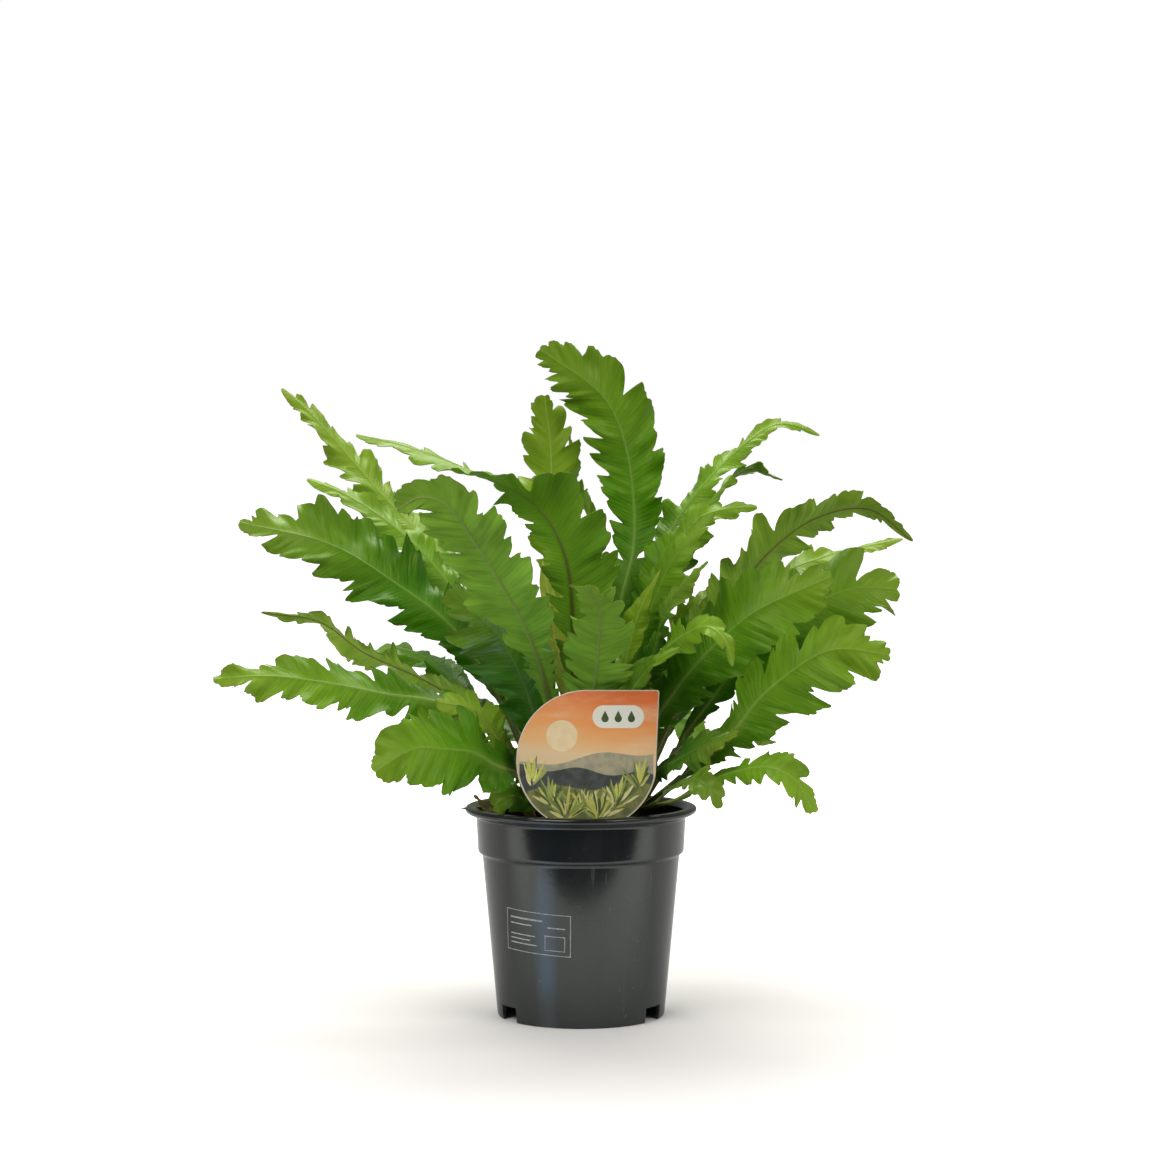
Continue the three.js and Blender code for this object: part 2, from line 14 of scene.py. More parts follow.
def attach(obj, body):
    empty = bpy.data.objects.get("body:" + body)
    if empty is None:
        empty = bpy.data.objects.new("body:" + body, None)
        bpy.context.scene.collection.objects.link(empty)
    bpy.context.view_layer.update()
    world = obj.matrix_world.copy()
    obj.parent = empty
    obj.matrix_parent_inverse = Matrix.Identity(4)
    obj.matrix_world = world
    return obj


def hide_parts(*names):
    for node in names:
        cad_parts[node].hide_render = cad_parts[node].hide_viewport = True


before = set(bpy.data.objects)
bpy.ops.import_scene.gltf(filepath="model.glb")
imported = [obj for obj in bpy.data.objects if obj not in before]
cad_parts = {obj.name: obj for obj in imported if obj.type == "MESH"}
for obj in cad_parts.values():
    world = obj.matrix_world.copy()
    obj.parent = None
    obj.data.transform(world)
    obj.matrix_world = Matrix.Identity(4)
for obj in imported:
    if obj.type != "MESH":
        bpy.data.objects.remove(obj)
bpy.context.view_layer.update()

MM = 0.001
FULL_TURN = 2 * math.pi

# Sizes that the solids have too.
POT_HEIGHT = 113
RIM_RADIUS = 62.5
RIM_INNER_RADIUS = 57.4
RIM_LIP = 3.4
BAND_TOP_RADIUS = 56.6
BAND_FOOT_RADIUS = 55.6
STEP_HEIGHT = 87
WALL_TOP_RADIUS = 53.3
FOOT_RADIUS = 45.2
WALL = 1.5
FLOOR = 1.8
CHANNEL_INNER_RADIUS = 31
CHANNEL_OUTER_RADIUS = 43.2
CHANNEL_RISE = 8.4
NOTCH_BEARINGS = (90, 212, 328)
NOTCH_WIDTH = 14
NOTCH_HEIGHT = 8.2
NOTCH_DEPTH = 9
DRAIN_BEARINGS = (30, 150, 270)
DRAIN_RADIUS = 3.2
SOIL_EDGE = 97
SOIL_TOP = 100
CROWN_RADIUS = 27.5
CROWN_TOP = 109
SEAT_HEIGHT = 96
CARD_CENTRE = (3, -44.5, 141.8)
CARD_RADIUS = 37
CARD_CORNER = (38, 37)
CARD_EDGE_FOOT = (35.6, -8)
SPIKE_WIDTH = 11
SPIKE_FOOT = 62
SPIKE_POINT = 8
RINGS = {"inner": (6.2, 8), "middle": (13, 20), "outer": (20, 36)}  # radius, and lean in degrees
RISE = 17
WIDEST = 0.62
CUT = 0.34
FOOT_SHARE = 0.45  # of the blade's full width, close to the stalk


def leaf(name, ring, tone, bearing, width, face, *route, **more):
    """A frond's row in the part's source, with its tone and, where it has its own, its foot and teeth."""
    usual = dict(widest=WIDEST, cut=CUT, halves=(1, 1), tip_face=face, foot=FOOT_SHARE, teeth=1)
    given = dict(name=name, ring=ring, tone=tone, bearing=bearing, width=width, face=face, route=route)
    return usual | given | more


FRONDS = [
    leaf("left_low", "outer", "bright", 193, 43, (0.1, -0.72, 0.69),
         (-67, -22, 166), (-105, -32, 176), (-161, -46, 186), (-191, -54, 185)),
    leaf("left_curl", "outer", "olive", 180, 28, (0.3, 0.6, 0.75),
         (-56, 4, 161), (-82, 6, 179), (-117, 8, 195), (-142, 8, 212), (-173, 8, 217), widest=0.5),
    leaf("left_big", "middle", "rich", 196, 54, (0.35, -0.8, 0.48),
         (-47, -10, 177), (-69, -14, 210), (-101, -16, 235), (-133, -15, 254), (-183, -6, 266), widest=0.64,
         halves=(0.94, 1.18)),
    leaf("upper_left", "middle", "young", 149, 46, (0.62, -0.5, 0.6),
         (-46, 38, 215), (-76, 52, 246), (-111, 64, 280), (-154, 68, 328), (-168, 68, 340)),
    leaf("left_light", "middle", "bright", 173, 36, (0.5, -0.55, 0.67),
         (-52, 12, 196), (-75, 14, 236), (-99, 15, 261), (-129, 17, 281), (-149, 18, 289)),
    leaf("arch_left", "inner", "bright", 230, 52, (-0.1, 0.85, 0.5),
         (-4, -20, 205), (-9, -36, 251), (-23, -42, 275), (-54, -50, 292), (-88, -56, 305), (-116, -58, 312),
         widest=0.46, halves=(1.18, 0.6), tip_face=(0.1, -0.45, 1), foot=0.1),
    leaf("left_centre", "middle", "pale", 245, 52, (0.3, 0.85, 0.3),
         (-18, -34, 178), (-28, -57, 210), (-47, -80, 246), (-68, -94, 276), (-80, -92, 280), (-93, -84, 274),
         widest=0.64, foot=0.12),
    leaf("dark_glossy", "middle", "sheen", 219, 54, (0.25, -0.9, 0.35),
         (-27, -23, 171), (-40, -34, 201), (-53, -42, 216), (-67, -50, 232)),
    leaf("low_left_front", "outer", "mid", 222, 54, (0.1, -0.9, 0.42),
         (-32, -29, 131), (-45, -50, 140), (-56, -66, 148), (-70, -80, 151), (-85, -90, 152),
         (-104, -94, 141), widest=0.58, cut=0.2),
    leaf("low_left_back", "outer", "olive", 207, 26, (0.2, -0.85, 0.45),
         (-34, -14, 133), (-44, -24, 151), (-57, -31, 167), (-76, -38, 172), widest=0.68),
    leaf("low_dark", "outer", "deep", 238, 22, (0.1, -0.8, 0.6),
         (-25, -33, 117), (-36, -37, 122), (-46, -38, 117), cut=0.15, teeth=0.25),
    leaf("upright_left", "inner", "young", 140, 42, (0.15, -0.95, 0.2),
         (-8, 20, 201), (-15, 30, 261), (-17, 36, 310), (-20, 38, 335), widest=0.78),
    leaf("edge_on", "inner", "young", 105, 26, (-0.9, -0.35, 0.2),
         (12, 34, 211), (5, 50, 266), (-4, 54, 287), (-7, 58, 317)),
    leaf("tall_centre", "inner", "mid", 70, 50, (0.05, -0.98, 0.2),
         (22, 16, 223), (29, 26, 253), (25, 30, 305), (13, 27, 333), (-22, 8, 359), widest=0.76),
    leaf("front_centre", "outer", "pale", 262, 42, (0, 0.9, 0.4),
         (7, -40, 180), (9, -57, 203), (10, -73, 219), (6, -88, 231), (-5, -101, 236), widest=0.5,
         tip_face=(0, 0.3, 0.95)),
    leaf("upper_right", "middle", "bright", 38, 34, (-0.55, -0.6, 0.58),
         (36, 30, 228), (52, 50, 264), (80, 63, 298), (107, 68, 319), (118, 68, 320), (134, 68, 314),
         widest=0.42),
    leaf("right_dark", "inner", "mid", 24, 32, (-0.4, -0.75, 0.5),
         (31, 3, 198), (42, 2, 240), (64, 3, 268), (79, 5, 273), (95, 6, 274)),
    leaf("right_fork", "middle", "mid", 19, 35, (-0.5, 0.1, 0.85),
         (49, 14, 228), (69, 23, 274), (80, 24, 287), (92, 24, 295), (110, 24, 289), widest=0.72),
    leaf("mid_right", "inner", "mid", 340, 30, (-0.4, -0.8, 0.4),
         (32, -6, 203), (46, -11, 240), (55, -13, 254), (71, -12, 271), teeth=0.7),
    leaf("stem_side", "middle", "deep", 316, 24, (-0.7, -0.5, 0.5),
         (37, -29, 191), (45, -38, 221), (53, -43, 233), (66, -48, 246), cut=0.2, foot=0.8),
    leaf("light_strip", "inner", "young", 290, 16, (-0.5, -0.8, 0.3),
         (22, -17, 182), (26, -20, 201), (31, -23, 219), (42, -25, 241), cut=0.05, teeth=0.1),
    leaf("right_arch", "middle", "olive", 3, 40, (-0.3, 0.85, 0.45),
         (62, 0, 197), (82, 4, 225), (102, 6, 250), (127, 9, 268), (156, 10, 273), (179, 4, 256), widest=0.52,
         halves=(0.8, 1.15), tip_face=(0, 0.6, 0.8)),
    leaf("right_thin", "outer", "olive", 22, 30, (-0.2, -0.45, 0.87),
         (70, 20, 196), (99, 38, 230), (132, 46, 245), (179, 50, 256)),
    leaf("right_big", "outer", "rich", 354, 62, (-0.3, -0.85, 0.42),
         (66, -10, 166), (96, -12, 203), (117, -10, 217), (144, -6, 230), (170, -2, 230), widest=0.74),
    leaf("right_low", "outer", "bright", 342, 56, (-0.2, -0.9, 0.35),
         (54, -30, 132), (68, -45, 147), (80, -57, 159), (94, -68, 178), (127, -84, 202), (156, -90, 200),
         widest=0.7, halves=(0.8, 1.05)),
    leaf("right_wide", "middle", "mid", 335, 56, (-0.3, -0.93, 0.2),
         (43, -19, 166), (59, -28, 189), (77, -36, 208), (92, -40, 220), (131, -42, 238), widest=0.64,
         foot=0.8),
    leaf("front_curl", "outer", "bright", 295, 22, (0, -0.5, 0.85),
         (28, -35, 172), (38, -44, 194), (56, -62, 210), (66, -74, 213), (74, -82, 206), (77, -84, 194),
         tip_face=(0.3, -0.9, 0.2)),
    leaf("droop_right", "outer", "bright", 318, 28, (-0.1, -0.7, 0.7),
         (50, -42, 121), (75, -68, 137), (98, -88, 142), (109, -94, 136), (117, -98, 121), widest=0.8,
         tip_face=(0.5, -0.8, 0.3), foot=0.8),
    leaf("low_fingers", "outer", "deep", 306, 24, (0, -0.5, 0.85),
         (35, -39, 117), (45, -58, 127), (53, -76, 135), (61, -88, 135), (67, -94, 130), (70, -96, 123),
         widest=0.7, tip_face=(0.4, -0.9, 0.1), foot=0.8),
    leaf("low_right", "outer", "deep", 330, 30, (-0.2, -0.7, 0.68),
         (38, -27, 132), (52, -46, 143), (62, -60, 150), (80, -80, 159), cut=0.26, foot=0.95),
    leaf("back_right_low", "outer", "mid", 8, 34, (-0.3, 0, 0.95),
         (56, 22, 140), (84, 40, 152), (108, 54, 142)),
    leaf("back_right", "outer", "mid", 38, 44, (-0.4, -0.4, 0.8),
         (64, 42, 170), (116, 70, 200), (158, 90, 192)),
    leaf("back_right_high", "middle", "mid", 56, 42, (-0.4, -0.5, 0.75),
         (52, 62, 190), (92, 104, 224), (136, 140, 222)),
    leaf("back_foot_right", "outer", "mid", 58, 36, (-0.2, -0.3, 0.92),
         (36, 58, 142), (54, 100, 154), (66, 138, 136)),
    leaf("back_centre", "outer", "mid", 78, 46, (-0.1, -0.5, 0.85),
         (16, 78, 170), (22, 130, 200), (26, 178, 182)),
    leaf("back_high", "middle", "mid", 92, 42, (0, -0.7, 0.7),
         (-2, 60, 205), (-6, 104, 240), (-10, 150, 250)),
    leaf("back_left_high", "middle", "mid", 128, 42, (0.4, -0.5, 0.75),
         (-45, 60, 190), (-80, 100, 226), (-118, 138, 226)),
    leaf("back_foot_left", "outer", "mid", 112, 36, (0.2, -0.3, 0.92),
         (-30, 62, 142), (-48, 104, 152), (-66, 142, 132)),
    leaf("back_left", "outer", "mid", 133, 42, (0.4, -0.4, 0.8),
         (-62, 56, 168), (-100, 90, 192), (-136, 118, 186)),
    leaf("back_left_low", "outer", "mid", 157, 34, (0.3, 0, 0.95),
         (-54, 32, 138), (-84, 54, 150), (-110, 72, 142)),
    leaf("strip_left", "inner", "strip", 190, 15, (0.2, -0.95, 0.2),
         (-7, 2, 175), (-14, 2, 202), (-17, 2, 223), (-21, 4, 246), cut=0.05, teeth=0.12),
    leaf("leaflet", "outer", "mid", 279, 13, (-0.2, -0.9, 0.5),
         (19, -39, 160), (29, -44, 182), (42, -59, 197), (51, -63, 202), widest=0.75, cut=0.15),
    leaf("light_behind", "outer", "young", 47, 30, (-0.3, -0.9, 0.3),
         (42, 35, 167), (54, 53, 189), (63, 50, 215), (74, 57, 228), widest=0.7),
]

RUFFLE = 4
STALK_SHARE = 0.13
STALK_LENGTH = 21
STALK_HALF = 1.5
STALK_RIB = 1.5
TIP_RIB = 0.4
FULLNESS = 0.72
LOBE_PITCH = 30.5
PLAIN_LOBE_PITCH = 48  # of the fronds at the back
LEAST_LOBES = 4
SWEEP = math.radians(28)
TIP_SWEEP = math.radians(50)
WAVE_LENGTH = 42
CHANNEL_FOLD = 0.5
ARCH_FOLD = -0.1
TURN = (0.12, 0.45)
TIP_TURN = (0.5, 0.9)
ARC_STEPS = 200
SEED = (1000, 37)  # of the first frond, and the step to the next
FINE_SEED = 500

# What the finer fronds add to the solids' shape, in millimetres.
ROW_STEP = 1.0
SLIT_RISE = 0.5  # of a lobe's length, over which its edge comes back out after a slit
SLIT_FALL = 0.07
SLIT_DEEPER = 1.2
DEEPEST = 0.8
TEETH = (
    # pitch, depth and how unevenly the depths are spread, of the side lobes and of the small teeth
    ((6.5, 14), (1.0, 8.5), 1.4),
    ((2.3, 4.6), (0.3, 1.7), 1.8),
)
TOOTH_BACK = 0.5  # of its pitch, over which the edge comes back out after a notch
TOOTH_FRONT = 0.2
TIP_TEETH = 0.85
LEAST_REACH = 0.22  # of the uncut blade's
EDGE_OUT = 1.045  # the teeth cut into the edge, so it stands out a little first
FINE_WAVE = 1.7
FINE_WAVE_LENGTH = 14
LOBE_CURL = 5.2
CREASES = 7
CREASE_LENGTH = (10, 34)
CREASE_LEAN = 0.9  # radians from the way along the midrib
CREASE_SHARE = 0.028  # of its length
PLEAT = 0.42
PLEAT_LENGTH = 6.6
SWAY_LENGTH = 47  # over which the pleats come closer and part
STRONG_LENGTH = 29  # over which they get stronger and weaker
BLADE_HALF = 0.24
RIB_TOP = 0.5
RIB_HALF = (1.6, 0.45)
RIB_COLUMNS = (0, 0.45, 0.9, 1.5)
RIB_SHARES = (0, 0.2, 0.4, 0.58)
BLADE_COLUMNS = (0.16, 0.34, 0.52, 0.69, 0.83, 0.93, 1.0)


def smooth(low, high, x):
    share = np.clip((np.asarray(x, float) - low) / (high - low), 0, 1)
    return share * share * (3 - 2 * share)


def mix(a, b, share):
    return a + (b - a) * share


def unit(vectors):
    return vectors / np.maximum(np.linalg.norm(vectors, axis=-1, keepdims=True), 1e-9)


def sine(share):
    return np.sin(FULL_TURN * share)


def polar(turn, radius=1.0, z=0.0):
    """The point at a turn in radians, a radius and a height."""
    return np.array([radius * math.cos(turn), radius * math.sin(turn), z])


def between(marks, place):
    """The number of the first mark after a place, and how far the place has come since the mark before."""
    k = np.clip(np.searchsorted(marks, place, side="right"), 1, len(marks) - 1)
    return k, (place - marks[k - 1]) / (marks[k] - marks[k - 1])


def dice(seed):
    """The repeatable sequence of numbers from 0 to 1 that the part's source draws."""
    state = seed

    def roll():
        nonlocal state
        state = state * 16807 % 2147483647
        return state / 2147483647

    return roll


class Spine:
    """A centripetal Catmull-Rom curve, read by the share of its length."""

    def __init__(self, points):
        inner = np.array(points, float)
        self.points = np.vstack([2 * inner[0] - inner[1], inner, 2 * inner[-1] - inner[-2]])
        self.spans = len(inner) - 1
        self.steps = np.linspace(0, 1, ARC_STEPS + 1)
        legs = np.linalg.norm(np.diff(self.at(self.steps), axis=0), axis=1)
        self.arc = np.concatenate([[0], np.cumsum(legs)])
        self.length = self.arc[-1]

    def at(self, t):
        span = self.spans * np.clip(t, 0, 1)
        i = np.minimum(span.astype(int), self.spans - 1)
        w = (span - i)[:, None]
        p = [self.points[i + k] for k in range(4)]
        d0, d1, d2 = (np.sqrt(np.linalg.norm(b - a, axis=1))[:, None] for a, b in zip(p, p[1:]))
        m1 = d1 * ((p[1] - p[0]) / d0 - (p[2] - p[0]) / (d0 + d1) + (p[2] - p[1]) / d1)
        m2 = d1 * ((p[2] - p[1]) / d1 - (p[3] - p[1]) / (d1 + d2) + (p[3] - p[2]) / d2)
        rise = 3 * (p[2] - p[1]) - 2 * m1 - m2
        return p[1] + m1 * w + rise * w**2 + (2 * (p[1] - p[2]) + m1 + m2) * w**3

    def walk(self, share):
        """The points and the ways ahead at shares of the length."""
        t = np.interp(share * self.length, self.arc, self.steps)
        return self.at(t), unit(self.at(t + 1e-4) - self.at(t - 1e-4))


class Frond:
    """A frond's shape as the part's source has it, and the finer edge and waves on top of it."""

    def __init__(self, row, index):
        self.row = row
        radius, lean = RINGS[row["ring"]]
        lean = math.radians(lean)
        out = polar(math.radians(row["bearing"]))
        foot = out * radius + [0, 0, SEAT_HEIGHT]
        start = foot + RISE * (out * math.sin(lean) + np.array([0, 0, math.cos(lean)]))
        self.spine = Spine([foot, start, *row["route"]])
        self.length = self.spine.length
        roll = dice(SEED[0] + SEED[1] * index)
        self.stalk = max(STALK_SHARE, STALK_LENGTH / self.length)
        lobe_pitch = PLAIN_LOBE_PITCH if row["name"].startswith("back_") else LOBE_PITCH
        self.pitch = (1 - self.stalk) / max(LEAST_LOBES, round(self.length / lobe_pitch))
        self.peak = math.log(0.5) / math.log(row["widest"])
        self.cuts = {side: self.cuts_of(side, roll) for side in (-1, 1)}
        self.phase = {side: roll() for side in (-1, 1)}
        self.halves = dict(zip((-1, 1), row["halves"]))
        self.inward = unit(np.array([-out[0], -out[1], 0.3]))
        self.face, self.tip_face = (unit(np.array(row[key], float)) for key in ("face", "tip_face"))
        self.random = np.random.default_rng(FINE_SEED + index)
        self.curls = {side: self.random.uniform(-1, 1, 40) for side in (-1, 1)}
        self.teeth = {side: self.teeth_of() for side in (-1, 1)}
        self.fine_phase = {side: self.random.uniform(0, FULL_TURN) for side in (-1, 1)}
        self.pleat_phase = self.random.uniform(0, FULL_TURN)
        ranges = (CREASE_LENGTH, (-CREASE_LEAN, CREASE_LEAN), (0, FULL_TURN))
        self.creases = [[self.random.uniform(*ends) for ends in ranges] for _ in range(CREASES)]

    def cuts_of(self, side, roll):
        at = self.stalk + self.pitch * (0.1 if side < 0 else 0.6)
        cuts = []
        while at < 1 + self.pitch:
            place = at + 0.2 * self.pitch * (roll() - 0.5)
            cuts.append((place, min(DEEPEST, self.row["cut"] * (0.5 + roll()))))
            at += self.pitch
        return np.array(cuts)

    def teeth_of(self):
        """One edge's side lobes and small teeth: where each notch lies, in millimetres, and its depth."""
        levels = []
        for pitch, depths, spread in TEETH:
            count = int(self.length / pitch[0]) + 8
            at = self.stalk * self.length + np.cumsum(self.random.uniform(*pitch, count))
            levels.append((at, mix(*depths, self.random.random(count) ** spread) * self.row["teeth"]))
        return levels

    def frames(self, t):
        centre, tangent = self.spine.walk(t)
        turn_from = max(TURN[0], RISE / self.length)
        turn_to = max(TURN[1], turn_from + 0.25)
        up = mix(self.inward, self.face, smooth(turn_from, turn_to, t)[:, None])
        up = mix(up, self.tip_face, smooth(*TIP_TURN, t)[:, None])
        up = unit(up - tangent * np.sum(up * tangent, axis=1, keepdims=True))
        return centre, tangent, up, np.cross(tangent, up)

    def full_reach(self, t):
        """Half the width of the uncut blade."""
        x = np.clip((t - self.stalk) / (1 - self.stalk), 0, 1)
        blade = np.clip(np.sin(np.pi * x**self.peak), 0, None) ** FULLNESS
        blade = blade * mix(self.row["foot"], 1, smooth(0, 0.8 * self.row["widest"], x))
        return STALK_HALF * (1 - 0.75 * x) + (self.row["width"] / 2 - STALK_HALF) * blade

    def lobe(self, side, t):
        """Which lobe a place lies on, and how far along it, and how much of the reach the slits leave."""
        at, depth = self.cuts[side].T
        k, along = between(at, t)
        inside = (t >= at[0]) & (t < at[-1])
        along = np.where(inside, along, 0)
        rise = np.minimum(1, along / SLIT_RISE) ** 0.6
        fall = np.minimum(1, (1 - along) / SLIT_FALL)
        deep = np.minimum(DEEPEST, SLIT_DEEPER * np.where(rise < fall, depth[k - 1], depth[k]))
        return k, along, np.where(inside, 1 - deep * (1 - np.minimum(rise, fall)), 1)

    def tooth_loss(self, side, t):
        place, loss = t * self.length, 0
        for at, depth in self.teeth[side]:
            k, along = between(at, place)
            along = np.clip(along, 0, 1)
            back = np.clip(1 - along / TOOTH_BACK, 0, 1) ** 1.5 * depth[k - 1]
            front = np.clip(1 - (1 - along) / TOOTH_FRONT, 0, 1) ** 1.2 * depth[k]
            loss = loss + np.maximum(back, front)
        return loss

    def reach(self, side, t):
        _, _, share = self.lobe(side, t)
        full = self.full_reach(t) * self.halves[side] * EDGE_OUT
        blade = smooth(self.stalk, self.stalk + 0.02, t)
        loss = self.tooth_loss(side, t) * smooth(2.5, 13, full) * mix(1, TIP_TEETH, smooth(0.7, 1, t))
        edge = np.maximum(full * share - loss * blade, LEAST_REACH * full)
        return np.where(t > self.stalk, edge, self.full_reach(t))

    def lift(self, side, t, x):
        """How far the blade's middle surface stands off its frame, x millimetres from the midrib."""
        out, place = x / (self.row["width"] / 2), t * self.length
        fold = mix(CHANNEL_FOLD, ARCH_FOLD, smooth(0.15, 0.5, t))
        wave = RUFFLE * out**1.5 * sine(place / WAVE_LENGTH + self.phase[side])
        fine = FINE_WAVE * out**2 * np.sin(FULL_TURN * place / FINE_WAVE_LENGTH + self.fine_phase[side])
        k, along, _ = self.lobe(side, t)
        full = self.full_reach(t) * self.halves[side]
        curl = LOBE_CURL * self.curls[side][k] * along**2 * smooth(0.5, 1.05, x / full) * smooth(4, 14, full)
        sway = 1.7 * np.sin(FULL_TURN * place / SWAY_LENGTH + self.pleat_phase)
        strong = np.sin(FULL_TURN * place / STRONG_LENGTH + 2 * self.pleat_phase + 0.12 * side * x)
        pleat = PLEAT * (0.55 + 0.55 * strong) * np.sin(FULL_TURN * place / PLEAT_LENGTH + sway)
        crease = 0
        for length, lean, phase in self.creases:
            way = place * math.cos(lean) + side * x * math.sin(lean)
            crease = crease + CREASE_SHARE * length * np.sin(FULL_TURN * way / length + phase)
        crease = crease * smooth(0.04, 0.6, out) * smooth(3, 12, full)
        return fold * (np.sqrt(x * x + 1) - 1) + wave + fine + curl + pleat * smooth(0.08, 0.45, out) + crease

    def rib_half(self, t):
        return mix(*RIB_HALF, smooth(0, 0.85, t))

    def surface(self):
        """The middle surface as a grid of points, with each point's distance from the midrib and the edge."""
        t = np.linspace(0, 1, int(self.length / ROW_STEP) + 1)
        centre, tangent, up, across = self.frames(t)
        sweep = mix(SWEEP, TIP_SWEEP, smooth(0.7, 1, t)) * smooth(0.1, 0.3, t) * (t > self.stalk)
        grid, offsets, rims = [], [], []
        for side in (-1, 1):
            reach = self.reach(side, t)
            ribs = [
                np.minimum(self.rib_half(t) * width, reach * share)
                for width, share in zip(RIB_COLUMNS, RIB_SHARES)
            ]
            blades = [mix(ribs[-1], reach, share) for share in BLADE_COLUMNS]
            for x in ribs[1:] + blades if side > 0 else (ribs + blades)[::-1]:
                aside, ahead, lift = side * x * np.cos(sweep), x * np.sin(sweep), self.lift(side, t, x)
                grid.append(centre + across * aside[:, None] + tangent * ahead[:, None] + up * lift[:, None])
                offsets.append(side * x)
                rims.append(reach - x)
        return t, np.stack(grid, 1), np.stack(offsets, 1), np.stack(rims, 1)


# Pieces.
SHARP_ANGLE = 30
POT_SHARP_ANGLE = 38
POT_SIDES = 180
POT_ROUNDING = 0.9


def link(name, data):
    """Makes an object of some data and puts it in the scene."""
    obj = bpy.data.objects.new(name, data)
    bpy.context.scene.collection.objects.link(obj)
    return obj


def new_object(name, body, material, smooth_angle=None):
    """A mesh object from a body: its points in millimetres, and its faces."""
    vertices, faces = body
    mesh = bpy.data.meshes.new(name)
    mesh.from_pydata((np.asarray(vertices, float) * MM).tolist(), [], [list(f) for f in faces])
    mesh.update()
    mesh.shade_smooth()
    if smooth_angle:
        mesh.set_sharp_from_angle(angle=math.radians(smooth_angle))
    for one in material if isinstance(material, list) else [material]:
        mesh.materials.append(one)
    return link(name, mesh)


def place(obj, slot, *nodes):
    """Parents a finished piece to the root body, and hides the imported parts that it stands for."""
    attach(obj, "root")
    if nodes:
        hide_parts(*nodes)
    return obj


def faceted(name, body, material, slot, *nodes):
    """A piece whose hard edges stay sharp."""
    return place(new_object(name, body, material, SHARP_ANGLE), slot, *nodes)


def set_attribute(mesh, name, values):
    flat = np.ravel(values).astype(np.float32)
    mesh.attributes.new(name, "FLOAT", "POINT").data.foreach_set("value", flat)


def frond_object(row, index, material):
    """One closed thin body: an upper and an under side, joined round the edge."""
    frond = Frond(row, index)
    t, grid, offset, rim = frond.surface()
    normals = unit(np.cross(np.gradient(grid, axis=1), np.gradient(grid, axis=0)))
    rib = np.clip(1 - (np.abs(offset) / (1.5 * frond.rib_half(t)[:, None])) ** 2, 0, 1) ** 2
    thin = BLADE_HALF * (0.65 + 0.35 * smooth(0, 2, rim))
    stalk_rib = mix(STALK_RIB, TIP_RIB, smooth(0, 0.8, t))[:, None]
    upper = grid + normals * (thin + RIB_TOP * rib * mix(1, 0.3, t)[:, None])[..., None]
    under = grid - normals * (thin + stalk_rib * rib)[..., None]
    rows, columns = offset.shape
    below = rows * columns
    number = np.arange(below).reshape(rows, columns)
    a, b, c, d = number[:-1, :-1], number[:-1, 1:], number[1:, 1:], number[1:, :-1]
    border = np.concatenate([number[0, :], number[1:, -1], number[-1, -2::-1], number[-2:0:-1, 0]])
    after = np.roll(border, -1)
    faces = [
        np.stack([a, b, c, d], -1).reshape(-1, 4),
        below + np.stack([d, c, b, a], -1).reshape(-1, 4),
        np.stack([after, border, border + below, after + below], -1),
    ]
    vertices = np.concatenate([upper.reshape(-1, 3), under.reshape(-1, 3)])
    obj = new_object("leaf_" + row["name"], (vertices, np.concatenate(faces)), material)
    grow = np.repeat(t[:, None], columns, 1)
    for name, values in dict(along=grow * frond.length, grow=grow, across=offset, rim=rim).items():
        set_attribute(obj.data, name, np.concatenate([values, values]))
    set_attribute(obj.data, "under", np.repeat([0, 1], below))
    on_border = np.zeros(2 * below, bool)
    on_border[border] = on_border[border + below] = True
    ends = np.zeros(len(obj.data.edges) * 2, np.int64)
    obj.data.edges.foreach_get("vertices", ends)
    ends = ends.reshape(-1, 2)
    sharp = on_border[ends].all(1) & ((ends[:, 0] < below) == (ends[:, 1] < below))
    obj.data.attributes.new("sharp_edge", "BOOLEAN", "EDGE").data.foreach_set("value", sharp)
    place(obj, "leaf", "frond_" + row["name"])


# Materials.
class Value:
    """What a node gives out. The signs of arithmetic on it stand for Math nodes."""

    def __init__(self, nodes, socket):
        self.nodes, self.socket = nodes, socket

    def __add__(self, other):
        return self.nodes.math("ADD", self, other)

    def __sub__(self, other):
        return self.nodes.math("SUBTRACT", self, other)

    def __mul__(self, other):
        return self.nodes.math("MULTIPLY", self, other)

    def __truediv__(self, other):
        return self.nodes.math("DIVIDE", self, other)


